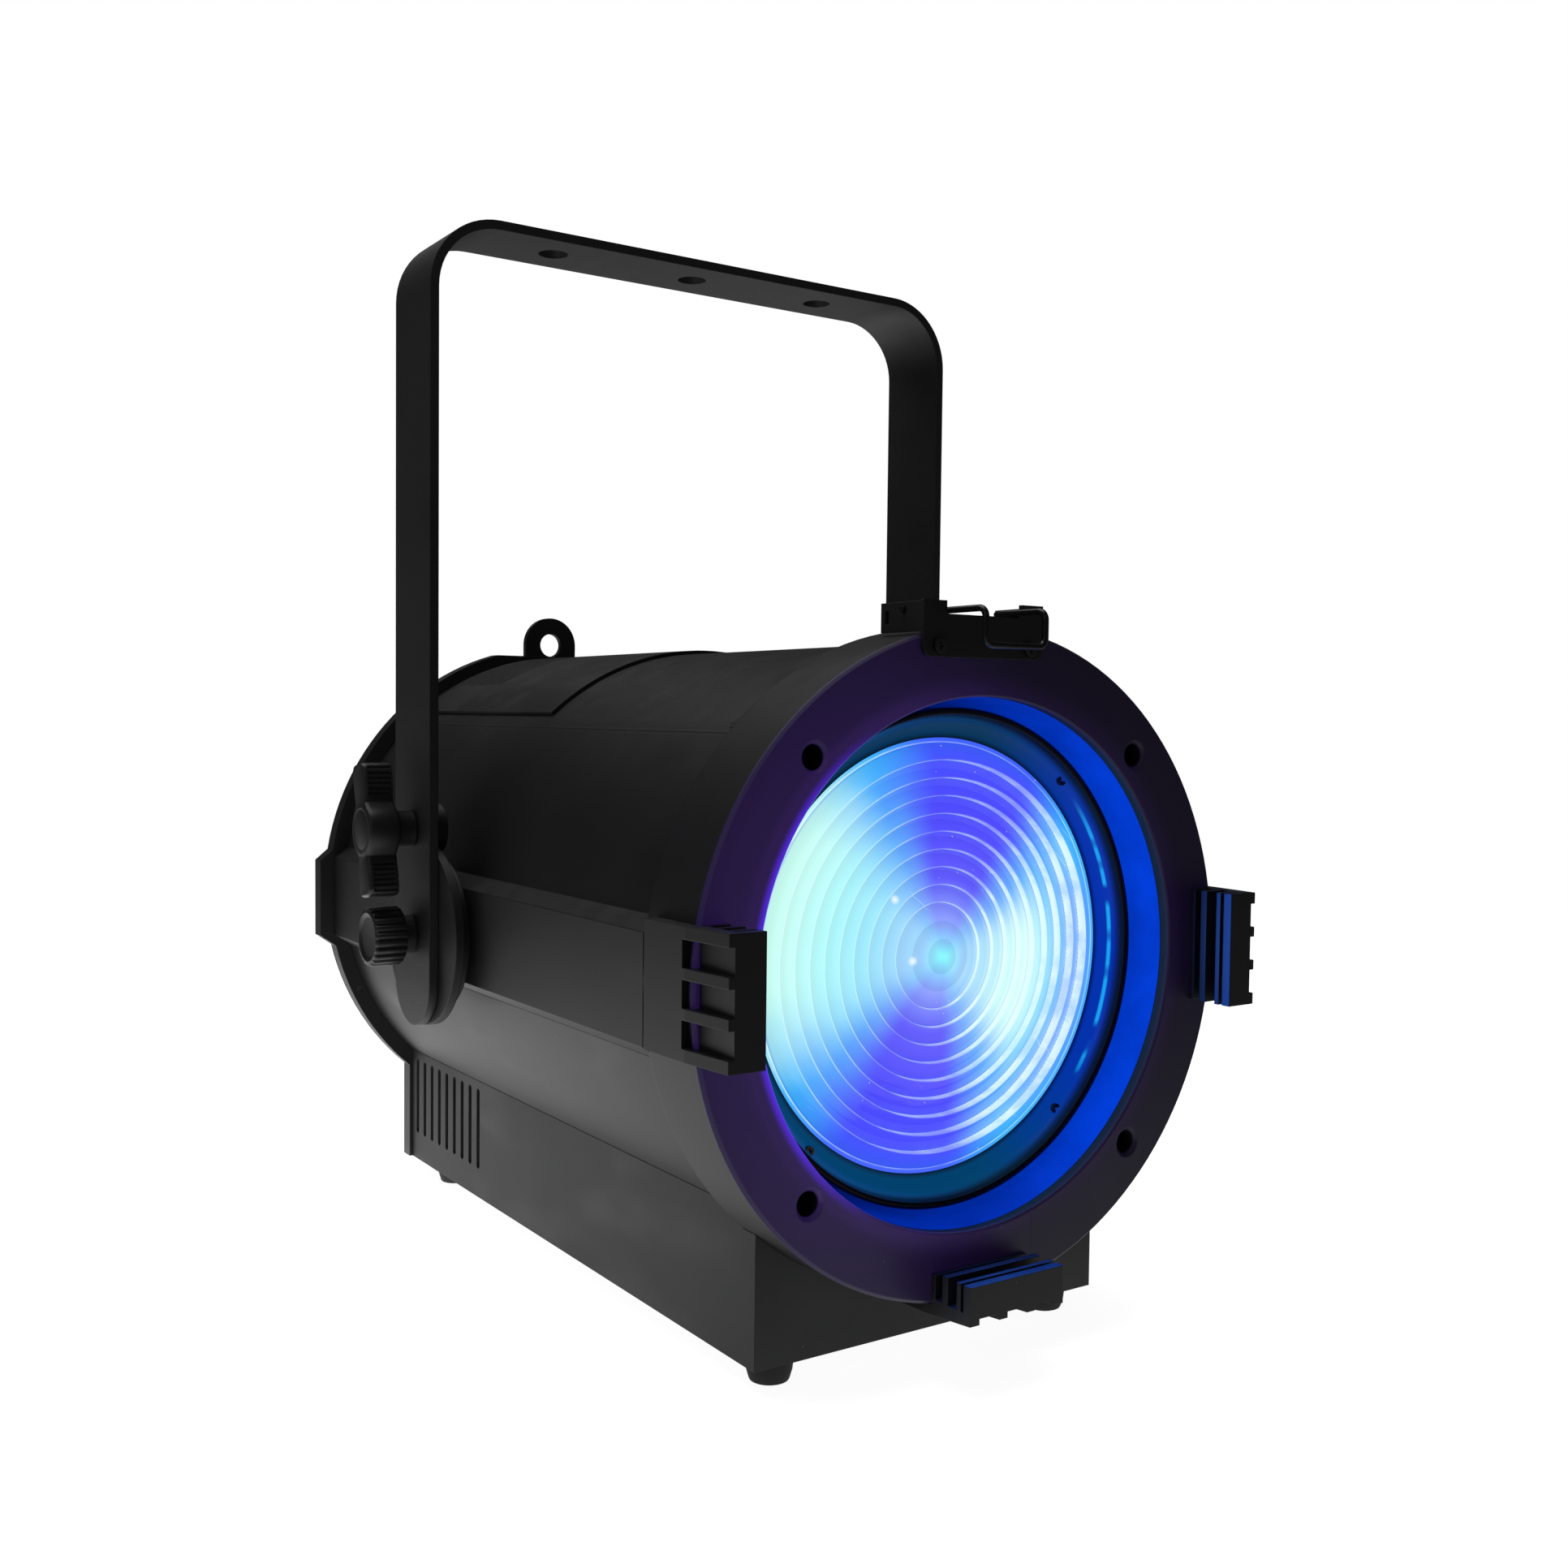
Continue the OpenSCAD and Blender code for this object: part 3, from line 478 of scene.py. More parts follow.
def open_material(name: str) -> tuple[bpy.types.Material, Graph, bpy.types.Node, Socket]:
    """Makes a material with a Principled shader.

    Args:
        name: The material's name.

    Returns:
        The material, a graph to build in, the shader, and the object's coordinates.
    """
    material = bpy.data.materials.new(name)
    material.use_nodes = True
    graph = Graph(material.node_tree)
    shader = next(n for n in material.node_tree.nodes if n.type == "BSDF_PRINCIPLED")
    place = graph.add("ShaderNodeTexCoord").outputs["Object"]
    return material, graph, shader, place


# ---- Finishes -------------------------------------------------------------------------------------


@dataclass(frozen=True)
class Coat:
    """Powder coat, moulded plastic or rubber: a dark grained skin with soft edges, dust and rubs."""

    colour: Colour
    lighter: Colour
    roughness: float
    density: float = 1500.0
    depth: float = 0.00004
    edge: float = 0.0006
    rub: float = 0.25
    rub_and_highlight_colour: Colour = (0.07, 0.07, 0.072)
    dust: float = 0.35
    sparkle: float = 0.15
    specular: float = 0.5

    def lay(self, name: str) -> tuple[bpy.types.Material, Graph, bpy.types.Node, Socket]:
        """Builds the coat.

        Args:
            name: The material's name.

        Returns:
            The material, its graph, its shader and its coordinates, for finishes that add to it.
        """
        material, graph, shader, place = open_material(name)
        grain = graph.effect(SHELF.get(Effect.GRAIN), Vector=place, Density=self.density)
        dust = graph.effect(SHELF.get(Effect.DUST), Vector=place, Amount=self.dust)
        edges = graph.effect(SHELF.get(Effect.EDGES), Vector=place, Radius=self.edge, Rub=self.rub)
        colour = graph.mix(grain.outputs["Mottle"], self.colour, self.lighter)
        glint = graph.times(grain.outputs["Sparkle"], self.sparkle)
        colour = graph.mix(glint, colour, (0.09, 0.09, 0.10))
        colour = graph.mix(edges.outputs["Rubbed"], colour, self.rub_and_highlight_colour)
        colour = graph.mix(graph.times(dust.outputs["Dust"], 0.10), colour, (0.30, 0.29, 0.27))
        colour = graph.mix(graph.times(dust.outputs["Specks"], 0.6), colour, (0.35, 0.35, 0.34))
        graph.feed(shader.inputs["Base Color"], colour)
        rough = graph.remap(dust.outputs["Smudge"], 0.0, 1.0, self.roughness, self.roughness * 0.86)
        rough = graph.math("ADD", rough, graph.times(dust.outputs["Dust"], 0.25), clamp=True)
        graph.feed(shader.inputs["Roughness"], rough)
        shader.inputs["Specular IOR Level"].default_value = self.specular
        bumped = graph.bump(grain.outputs["Height"], self.depth, edges.outputs["Normal"])
        graph.feed(shader.inputs["Normal"], bumped)
        return material, graph, shader, place

    def build(self, name: str) -> bpy.types.Material:
        """Returns the finished material."""
        return self.lay(name)[0]


@dataclass(frozen=True)
class RingCoat(Coat):
    """The ring's powder coat, with the lens's violet spill round the window and a moulding seam under it."""

    window: float = 0.119
    spill_width: float = 0.012
    spill: Colour = (0.020, 0.007, 0.066)
    rim_glow: Colour = (0.10, 0.02, 0.85)
    seam_x: float = 0.0315

    def build(self, name: str) -> bpy.types.Material:
        """Returns the finished material."""
        material, graph, shader, place = self.lay(name)
        polar = graph.effect(SHELF.get(Effect.AXIS), Vector=place, Height=AXIS.height)
        near = graph.remap(polar.outputs["Radius"], self.window, self.window + self.spill_width, 1.0, 0.0)
        wide = graph.remap(polar.outputs["Radius"], self.window, self.window + 0.060, 0.80, 0.36)
        left = graph.remap(polar.outputs["Right"], -1.0, 0.3, 1.0, 0.16)
        glow = graph.math("MULTIPLY", graph.math("ADD", near, wide), left, clamp=True)
        x, y, z = graph.split(place)
        on_face = graph.remap(y, AXIS.face_y + 0.0014, AXIS.face_y + 0.0030, 1.0, 0.0)
        glow = graph.times(glow, on_face)
        lit = graph.mix(glow, BLACK, self.spill)
        rim = graph.remap(polar.outputs["Radius"], self.window, self.window + 0.0050, 1.0, 0.0)
        rim = graph.times(rim, graph.remap(polar.outputs["Right"], -0.95, -0.45, 0.8, 0.0))
        graph.feed(shader.inputs["Emission Color"], graph.mix(rim, lit, self.rim_glow))
        shader.inputs["Emission Strength"].default_value = 1.0
        off = graph.math("ABSOLUTE", graph.math("SUBTRACT", x, self.seam_x))
        line = graph.remap(off, 0.00015, 0.0005, 1.0, 0.0)
        below = graph.math("LESS_THAN", z, AXIS.height - self.window + 0.002)
        seam = graph.times(line, below)
        old = shader.inputs["Base Color"].links[0].from_socket
        graph.feed(shader.inputs["Base Color"], graph.mix(seam, old, (0.002, 0.002, 0.002)))
        return material


@dataclass(frozen=True)
class ShellCoat(Coat):
    """The casing's powder coat, with the dark joint where the top shell's edge meets the side rails, and a
    painted highlight along the lip beside the joint.
    """

    joint_half: float = 0.00035

    def build(self, name: str) -> bpy.types.Material:
        """Returns the finished material."""
        material, graph, shader, place = self.lay(name)
        x, _, z = graph.split(place)
        out = graph.math("ABSOLUTE", x)
        high = graph.math("SUBTRACT", z, AXIS.height)
        across = graph.math("ABSOLUTE", graph.math("SUBTRACT", out, high))
        off = graph.times(across, math.sqrt(0.5))
        joint = graph.remap(off, self.joint_half, self.joint_half * 2, 1.0, 0.0)
        # Painted highlight: a thin lighter band along the lip just beside the joint, in the rubbed-edge
        # colour.
        lip_in = graph.remap(off, 0.0007, 0.0011)
        painted_lip_highlight = graph.times(lip_in, graph.remap(off, 0.0011, 0.0016, 1.0, 0.0))
        old = shader.inputs["Base Color"].links[0].from_socket
        colour = graph.mix(graph.times(painted_lip_highlight, 0.35), old, self.rub_and_highlight_colour)
        graph.feed(shader.inputs["Base Color"], graph.mix(joint, colour, (0.001, 0.001, 0.001)))
        return material


@dataclass(frozen=True)
class Metal:
    """Bare or plated metal with fine turning or drawing marks."""

    colour: Colour
    roughness: float
    along: Point = (1.0, 0.05, 1.0)
    marks: float = 900.0
    tarnish: Colour = (0.25, 0.24, 0.22)
    edge: float = 0.0002

    def build(self, name: str) -> bpy.types.Material:
        """Returns the finished material."""
        material, graph, shader, place = open_material(name)
        lines = graph.noise(graph.stretch(place, self.along), self.marks, 3.0, 0.6)
        cloud = graph.remap(graph.noise(place, 45.0, 4.0, 0.6), 0.5, 0.8)
        colour = graph.mix(graph.times(cloud, 0.35), self.colour, self.tarnish)
        graph.feed(shader.inputs["Base Color"], colour)
        shader.inputs["Metallic"].default_value = 1.0
        rough = graph.remap(lines, 0.3, 0.7, self.roughness * 0.8, self.roughness * 1.25)
        graph.feed(shader.inputs["Roughness"], rough)
        edges = graph.effect(SHELF.get(Effect.EDGES), Vector=place, Radius=self.edge, Rub=0.0)
        graph.feed(shader.inputs["Normal"], graph.bump(lines, 0.00001, edges.outputs["Normal"]))
        return material


@dataclass(frozen=True)
class LensGlow:
    """The lit lens: a cyan core, mint lobes to each side, violet above and below, bright step ridges."""

    rim: float
    dome: float
    step: float
    lobe_deg: float = 165.0
    ridge_width: float = 0.11
    spots: tuple[tuple[float, float, float], ...] = ((-0.0256, 0.0274, 0.0028), (-0.0160, -0.0011, 0.0030))
    spot_peak: float = 0.9

    def left_stops(self) -> Stops:
        """Returns the colours from the middle to the left edge."""
        return [
            (0.0, (0.24, 0.95, 1.0)), (0.11, (0.34, 0.64, 1.0)), (0.22, (0.36, 0.70, 1.0)),
            (0.42, (0.36, 0.84, 1.0)), (0.60, (0.44, 0.95, 0.98)), (0.80, (0.58, 1.0, 0.93)),
            (0.93, (0.60, 1.0, 0.88)), (1.0, (0.40, 0.95, 0.95)),
        ]

    def right_stops(self) -> Stops:
        """Returns the colours from the middle to the right edge."""
        return [
            (0.0, (0.24, 0.95, 1.0)), (0.12, (0.36, 0.66, 1.0)), (0.24, (0.42, 0.76, 1.0)),
            (0.40, (0.62, 0.97, 0.95)), (0.52, (0.70, 1.0, 0.92)), (0.61, (0.36, 0.78, 1.0)),
            (0.68, (0.15, 0.52, 1.0)), (0.80, (0.12, 0.28, 1.0)), (0.94, (0.08, 0.40, 1.0)),
            (1.0, (0.01, 0.10, 0.50)),
        ]

    def flank_stops(self) -> Stops:
        """Returns the azure between the mint lobes and the violet, from the middle outward."""
        return [
            (0.0, (0.24, 0.94, 1.0)), (0.10, (0.28, 0.62, 1.0)), (0.26, (0.22, 0.46, 1.0)),
            (0.50, (0.13, 0.42, 1.0)), (0.75, (0.09, 0.40, 1.0)), (0.93, (0.05, 0.50, 1.0)),
            (1.0, (0.01, 0.30, 0.85)),
        ]

    def side_stops(self) -> Stops:
        """Returns the colours from the middle to the top and bottom."""
        return [
            (0.0, (0.24, 0.93, 1.0)), (0.07, (0.26, 0.60, 1.0)), (0.16, (0.26, 0.34, 1.0)),
            (0.34, (0.120, 0.105, 1.0)), (0.62, (0.080, 0.070, 1.0)), (0.84, (0.065, 0.075, 1.0)),
            (0.94, (0.05, 0.12, 1.0)), (1.0, (0.02, 0.12, 0.65)),
        ]

    def build(self, name: str) -> bpy.types.Material:
        """Returns the finished material."""
        material, graph, shader, place = open_material(name)
        polar = graph.effect(SHELF.get(Effect.AXIS), Vector=place, Height=AXIS.height)
        radius = polar.outputs["Radius"]
        right, up = polar.outputs["Right"], polar.outputs["Up"]
        share = graph.math("DIVIDE", radius, self.rim, clamp=True)
        lobe = math.radians(self.lobe_deg)
        facing = graph.math("ADD", graph.times(right, math.cos(lobe)), graph.times(up, math.sin(lobe)))
        wave = graph.noise(graph.stretch(place, (1.0, 0.0, 1.0)), 26.0, 2.0, 0.5)
        waver = graph.math("MULTIPLY_ADD", wave, 0.16, -0.08)
        open_wide = graph.math("ADD", graph.math("ABSOLUTE", facing), waver)
        lobes = graph.remap(open_wide, 0.62, 0.98)
        flanks = graph.remap(open_wide, 0.30, 0.74)
        to_left = graph.remap(facing, -0.35, 0.35)
        to_sides = [graph.ramp(share, stops) for stops in (self.right_stops(), self.left_stops())]
        across = graph.mix(to_left, *to_sides)
        up_down = [graph.ramp(share, stops) for stops in (self.side_stops(), self.flank_stops())]
        colour = graph.mix(flanks, *up_down)
        colour = graph.mix(lobes, colour, across)
        steps = graph.math("DIVIDE", graph.math("SUBTRACT", radius, self.dome), self.step)
        part = graph.math("FRACT", steps)
        outside = graph.math("GREATER_THAN", steps, -0.06)
        ridge = graph.times(graph.remap(part, 0.0, self.ridge_width, 1.0, 0.0), outside)
        uneven = graph.remap(graph.noise(place, 75.0, 3.0, 0.6), 0.34, 0.62, 0.60, 1.0)
        ridge = graph.times(ridge, uneven)
        # Painted shade: a deeper blue band at the outer end of each step, next to the following ridge.
        trough_shade = graph.times(graph.remap(part, 0.86, 0.99), outside)
        shade = graph.remap(part, 0.05, 0.9, 1.04, 0.90)
        colour = graph.mix(1.0, colour, graph.grey(shade), Blend.MULTIPLY)
        colour = graph.mix(graph.times(trough_shade, 0.32), colour, (0.02, 0.10, 0.75))
        shine = graph.times(ridge, graph.remap(flanks, 0.0, 1.0, 0.40, 0.92))
        colour = graph.mix(shine, colour, (0.78, 0.97, 1.0))
        for spot in self.spots:
            colour = graph.mix(self.glint(graph, place, *spot), colour, (0.9, 1.0, 1.0))
        # Painted highlight: fine scratches drawn as near-white streaks in the emission.
        colour = graph.mix(self.scratch_highlights(graph, place), colour, (0.80, 0.97, 1.0))
        colour = graph.mix(self.sparkles(graph, place, right), colour, (0.85, 0.98, 1.0))
        graph.feed(shader.inputs["Emission Color"], colour)
        shader.inputs["Emission Strength"].default_value = 1.0
        # Painted highlight: the base colour is lighter along the step ridges.
        graph.feed(shader.inputs["Base Color"], graph.mix(ridge, (0.004, 0.010, 0.030), (0.02, 0.04, 0.07)))
        smear = graph.noise(place, 70.0, 4.0, 0.6)
        graph.feed(shader.inputs["Roughness"], graph.remap(smear, 0.3, 0.8, 0.06, 0.20))
        ripple = graph.noise(place, 240.0, 2.0, 0.5)
        graph.feed(shader.inputs["Normal"], graph.bump(ripple, 0.00003))
        return material

    def glint(self, graph: Graph, place: Socket, x: float, z: float, size: float) -> Socket:
        """Makes a soft bright spot where the emitters focus.

        Args:
            graph: The graph to build in.
            place: The object's coordinates.
            x: How far right of the axis.
            z: How far above the axis.
            size: The spot's radius.

        Returns:
            The spot's mask.
        """
        flat = graph.stretch(place, (1.0, 0.0, 1.0))
        gap = graph.add("ShaderNodeVectorMath", operation="DISTANCE")
        graph.feed(gap.inputs[0], flat)
        graph.feed(gap.inputs[1], (x, 0.0, AXIS.height + z))
        return graph.remap(gap.outputs["Value"], 0.0, size, self.spot_peak, 0.0)

    def sparkles(self, graph: Graph, place: Socket, right: Socket) -> Socket:
        """Returns the mask of lit dust specks on the glass, more of them on its right."""
        distance, chance = graph.cells(graph.stretch(place, (1.0, 0.0, 1.0)), 250.0)
        dot = graph.remap(distance, 0.10, 0.03)
        rare = graph.math("GREATER_THAN", chance, graph.remap(right, -0.6, 0.8, 0.92, 0.80))
        return graph.times(dot, rare, 0.6)

    def scratch_highlights(self, graph: Graph, place: Socket) -> Socket:
        """Returns the mask of a few fine wiping scratches, painted as near-white highlights in the lens's
        emission.
        """
        leaning = graph.add("ShaderNodeVectorRotate", rotation_type="Y_AXIS")
        graph.feed(leaning.inputs["Vector"], place)
        graph.feed(leaning.inputs["Angle"], math.radians(52))
        fine = graph.noise(graph.stretch(leaning.outputs[0], (1.0, 0.0, 0.035)), 520.0, 1.0, 0.4)
        line = graph.remap(fine, 0.70, 0.76)
        patch = graph.remap(graph.noise(place, 38.0, 2.0, 0.5), 0.52, 0.64)
        return graph.times(line, patch, 0.35)


@dataclass(frozen=True)
class LitLiner:
    """The sleeve between ring and lens, flooded with blue light, with fine joints along it."""

    bright: Colour = (0.0, 0.046, 0.66)
    dim: Colour = (0.0, 0.023, 0.38)

    def build(self, name: str) -> bpy.types.Material:
        """Returns the finished material."""
        material, graph, shader, place = open_material(name)
        polar = graph.effect(SHELF.get(Effect.AXIS), Vector=place, Height=AXIS.height)
        side = graph.remap(polar.outputs["Right"], -0.2, 0.95)
        depth = graph.remap(graph.split(place)[1], AXIS.face_y + 0.001, AXIS.face_y + 0.075, 1.05, 0.35)
        lit = graph.mix(side, self.dim, self.bright)
        cloud = graph.remap(graph.noise(place, 34.0, 3.0, 0.6), 0.3, 0.75, 0.82, 1.06)
        lit = graph.mix(1.0, lit, graph.grey(graph.times(cloud, depth)), Blend.MULTIPLY)
        graph.feed(shader.inputs["Emission Color"], lit)
        shader.inputs["Emission Strength"].default_value = 1.0
        grain = graph.effect(SHELF.get(Effect.GRAIN), Vector=place, Density=900.0)
        mottle = grain.outputs["Mottle"]
        graph.feed(shader.inputs["Base Color"], graph.mix(mottle, (0.004, 0.006, 0.02), (0.008, 0.01, 0.03)))
        graph.feed(shader.inputs["Roughness"], graph.remap(mottle, 0.0, 1.0, 0.5, 0.65))
        shader.inputs["Specular IOR Level"].default_value = 0.0
        graph.feed(shader.inputs["Normal"], graph.bump(grain.outputs["Height"], 0.00002))
        return material


@dataclass(frozen=True)
class HolderLacquer:
    """Glossy lacquer on the lens holder: teal light in its hollow margin, and painted highlight arcs on its
    right.
    """

    inner: float
    outer: float
    arc_in: tuple[float, float] = (0.1070, 0.1077)
    arc_out: tuple[float, float] = (0.1083, 0.1089)

    def build(self, name: str) -> bpy.types.Material:
        """Returns the finished material."""
        material, graph, shader, place = open_material(name)
        polar = graph.effect(SHELF.get(Effect.AXIS), Vector=place, Height=AXIS.height)
        radius, right, up = (polar.outputs[k] for k in ("Radius", "Right", "Up"))
        band = graph.times(
            graph.remap(radius, self.inner - 0.001, self.inner + 0.003),
            graph.remap(radius, self.outer - 0.002, self.outer + 0.0002, 1.0, 0.0),
        )
        teal = graph.mix(graph.remap(up, -1.0, 0.9), (0.0, 0.052, 0.150), (0.0, 0.034, 0.100))
        teal = graph.mix(graph.remap(right, 0.2, 1.0), teal, (0.0, 0.030, 0.42))
        lit = graph.mix(band, BLACK, teal)
        # Painted highlight: broken bright cyan arcs near the holder's outer edge on its right, laid into the
        # emission.
        on_arc = graph.times(
            graph.remap(radius, *self.arc_in),
            graph.remap(radius, *self.arc_out, 1.0, 0.0),
        )
        reach = graph.remap(right, 0.74, 0.90)
        broken = graph.remap(graph.noise(graph.stretch(place, (0.0, 0.0, 1.0)), 55.0, 1.0, 0.5), 0.42, 0.50)
        arc_highlight = graph.times(on_arc, reach, broken)
        lit = graph.mix(graph.times(arc_highlight, 0.8), lit, (0.01, 0.45, 1.0))
        graph.feed(shader.inputs["Emission Color"], lit)
        shader.inputs["Emission Strength"].default_value = 1.0
        cloud = graph.noise(place, 30.0, 3.0, 0.5)
        lacquer = graph.mix(cloud, (0.004, 0.005, 0.007), (0.009, 0.010, 0.013))
        graph.feed(shader.inputs["Base Color"], lacquer)
        graph.feed(shader.inputs["Roughness"], graph.remap(cloud, 0.3, 0.7, 0.22, 0.34))
        shader.inputs["Specular IOR Level"].default_value = 0.18
        edges = graph.effect(SHELF.get(Effect.EDGES), Vector=place, Radius=0.0003, Rub=0.0)
        graph.feed(shader.inputs["Normal"], edges.outputs["Normal"])
        return material


@dataclass(frozen=True)
class CircuitGreen:
    """Solder-masked circuit board with fine tracks."""

    def build(self, name: str) -> bpy.types.Material:
        """Returns the finished material."""
        material, graph, shader, place = open_material(name)
        x, y, _ = graph.split(place)
        tracks = graph.math("PINGPONG", graph.times(x, 400.0), 1.0)
        bends = graph.math("GREATER_THAN", graph.noise(graph.stretch(place, (1.0, 0.3, 1.0)), 60.0, 1.0), 0.5)
        on = graph.times(graph.math("GREATER_THAN", tracks, 0.7), bends)
        mask = graph.mix(on, (0.012, 0.075, 0.035), (0.03, 0.14, 0.06))
        pads = graph.math("LESS_THAN", graph.cells(place, 180.0)[0], 0.16)
        graph.feed(shader.inputs["Base Color"], graph.mix(pads, mask, (0.55, 0.5, 0.4)))
        graph.feed(shader.inputs["Roughness"], graph.remap(graph.math("ADD", on, pads), 0.0, 1.0, 0.3, 0.45))
        graph.feed(shader.inputs["Normal"], graph.bump(on, 0.00004))
        graph.feed(shader.inputs["Metallic"], graph.times(pads, 0.6))
        return material


@dataclass(frozen=True)
class Emitters:
    """LED dies under their yellow phosphor domes."""

    def build(self, name: str) -> bpy.types.Material:
        """Returns the finished material."""
        material, graph, shader, place = open_material(name)
        chance = graph.cells(place, 130.0)[1]
        colour = graph.mix(chance, (0.75, 0.62, 0.18), (0.85, 0.80, 0.45))
        graph.feed(shader.inputs["Base Color"], colour)
        graph.feed(shader.inputs["Roughness"], graph.remap(chance, 0.0, 1.0, 0.15, 0.35))
        graph.feed(shader.inputs["Emission Color"], graph.mix(chance, (0.05, 0.25, 1.0), (0.1, 0.7, 1.0)))
        shader.inputs["Emission Strength"].default_value = 2.0
        return material


@dataclass(frozen=True)
class MenuGlass:
    """The display behind its smoked window, showing plain menu bars."""

    left: float
    right: float
    low: float
    high: float

    def build(self, name: str) -> bpy.types.Material:
        """Returns the finished material."""
        material, graph, shader, place = open_material(name)
        x, _, z = graph.split(place)
        across = graph.math("DIVIDE", graph.math("SUBTRACT", x, self.left), self.right - self.left)
        height = graph.math("DIVIDE", graph.math("SUBTRACT", z, self.low), self.high - self.low)
        inside = graph.times(
            graph.math("LESS_THAN", graph.math("ABSOLUTE", graph.math("SUBTRACT", across, 0.5)), 0.42),
            graph.math("LESS_THAN", graph.math("ABSOLUTE", graph.math("SUBTRACT", height, 0.5)), 0.34),
        )
        rows = graph.math("GREATER_THAN", graph.math("FRACT", graph.times(height, 5.0)), 0.5)
        blocks = graph.math("FRACT", graph.times(across, 14.0))
        drawn = graph.times(rows, graph.math("GREATER_THAN", blocks, 0.22))
        picked = graph.math("LESS_THAN", graph.math("ABSOLUTE", graph.math("SUBTRACT", height, 0.5)), 0.11)
        lamp = graph.mix(graph.times(drawn, inside), (0.002, 0.012, 0.03), (0.10, 0.55, 0.85))
        lamp = graph.mix(graph.times(picked, inside), lamp, (0.05, 0.35, 0.6))
        graph.feed(shader.inputs["Emission Color"], lamp)
        shader.inputs["Emission Strength"].default_value = 0.8
        film = graph.noise(place, 90.0, 3.0, 0.5)
        graph.feed(shader.inputs["Base Color"], graph.mix(film, (0.003, 0.004, 0.006), (0.008, 0.01, 0.012)))
        graph.feed(shader.inputs["Roughness"], graph.remap(film, 0.3, 0.8, 0.05, 0.16))
        shader.inputs["Coat Weight"].default_value = 0.6
        return material


Finish = Coat | Metal | LensGlow | LitLiner | HolderLacquer | CircuitGreen | Emitters | MenuGlass

FINISHES: dict[str, Finish] = {
    "powder_black": Coat((0.0125, 0.0125, 0.0142), (0.0165, 0.0165, 0.018), 0.46),
    "box_charcoal": Coat((0.024, 0.0245, 0.026), (0.030, 0.0305, 0.032), 0.55, density=1200.0, sparkle=0.2),
    "yoke_black": Coat(
        (0.0135, 0.0135, 0.0155), (0.018, 0.018, 0.020), 0.50, density=900.0, depth=0.00011, edge=0.0007,
        rub=0.40, rub_and_highlight_colour=(0.055, 0.055, 0.058), sparkle=0.45, specular=0.7,
    ),
    "moulded_black": Coat(
        (0.012, 0.012, 0.0135), (0.016, 0.016, 0.017), 0.42, density=2200.0, depth=FINE, edge=0.0005, rub=0.15
    ),
    "disc_black": Coat(
        (0.011, 0.011, 0.012), (0.015, 0.015, 0.016), 0.50, density=1800.0, depth=FINE, edge=0.0008, rub=0.2
    ),
    "knob_black": Coat(
        (0.017, 0.017, 0.019), (0.023, 0.023, 0.025), 0.38, density=1600.0, depth=FINE, edge=0.0005,
        rub=0.5, rub_and_highlight_colour=(0.08, 0.08, 0.08),
    ),
    "wire_black": Coat(
        (0.008, 0.008, 0.009), (0.011, 0.011, 0.012), 0.22, depth=SMOOTH, edge=0.0002, rub=0.0, sparkle=0.0
    ),
    "rubber_black": Coat(
        (0.010, 0.010, 0.010), (0.016, 0.016, 0.016), 0.72, density=1400.0, depth=0.00003, rub=0.1, dust=0.8
    ),
    "barrel_black": Coat((0.010, 0.010, 0.011), (0.014, 0.014, 0.015), 0.40, density=1200.0),
    "fan_black": Coat((0.012, 0.012, 0.013), (0.018, 0.018, 0.019), 0.45, density=1600.0, depth=FINE),
    "motor_black": Coat((0.014, 0.014, 0.015), (0.02, 0.02, 0.021), 0.40, density=1200.0),
    "panel_dark": Coat((0.015, 0.016, 0.018), (0.020, 0.021, 0.023), 0.38, density=2400.0, depth=SMOOTH),
    "button_grey": Coat(
        (0.42, 0.43, 0.45), (0.50, 0.51, 0.53), 0.45, density=2200.0, depth=SMOOTH, rub=0.0, dust=0.2,
        sparkle=0.0,
    ),
    "socket_blue": Coat(
        (0.012, 0.07, 0.33), (0.016, 0.09, 0.38), 0.38, density=1800.0, depth=SMOOTH, rub=0.1, sparkle=0.0
    ),
    "socket_grey": Coat(
        (0.38, 0.39, 0.41), (0.45, 0.46, 0.48), 0.40, density=1800.0, depth=SMOOTH, rub=0.0, sparkle=0.0
    ),
    "board_white": Coat((0.62, 0.61, 0.57), (0.70, 0.69, 0.66), 0.45, depth=SMOOTH, rub=0.0, sparkle=0.0),
    "screw_black": Metal((0.09, 0.09, 0.095), 0.34),
    "steel_zinc": Metal((0.52, 0.53, 0.55), 0.30),
    "brass_plain": Metal((0.60, 0.42, 0.16), 0.28, tarnish=(0.30, 0.19, 0.07)),
    "sheet_aluminium": Metal((0.55, 0.56, 0.58), 0.38, along=(1.0, 1.0, 0.05)),
    "sink_aluminium": Metal((0.60, 0.61, 0.63), 0.34),
    "reflector_bright": Metal((0.86, 0.87, 0.88), 0.10, marks=300.0),
    "supply_case": Metal((0.50, 0.51, 0.52), 0.45, along=(1.0, 1.0, 1.0)),
    "socket_metal": Metal((0.46, 0.46, 0.47), 0.32),
    "sleeve_black": LitLiner(),
    "board_green": CircuitGreen(),
    "emitter_yellow": Emitters(),
}


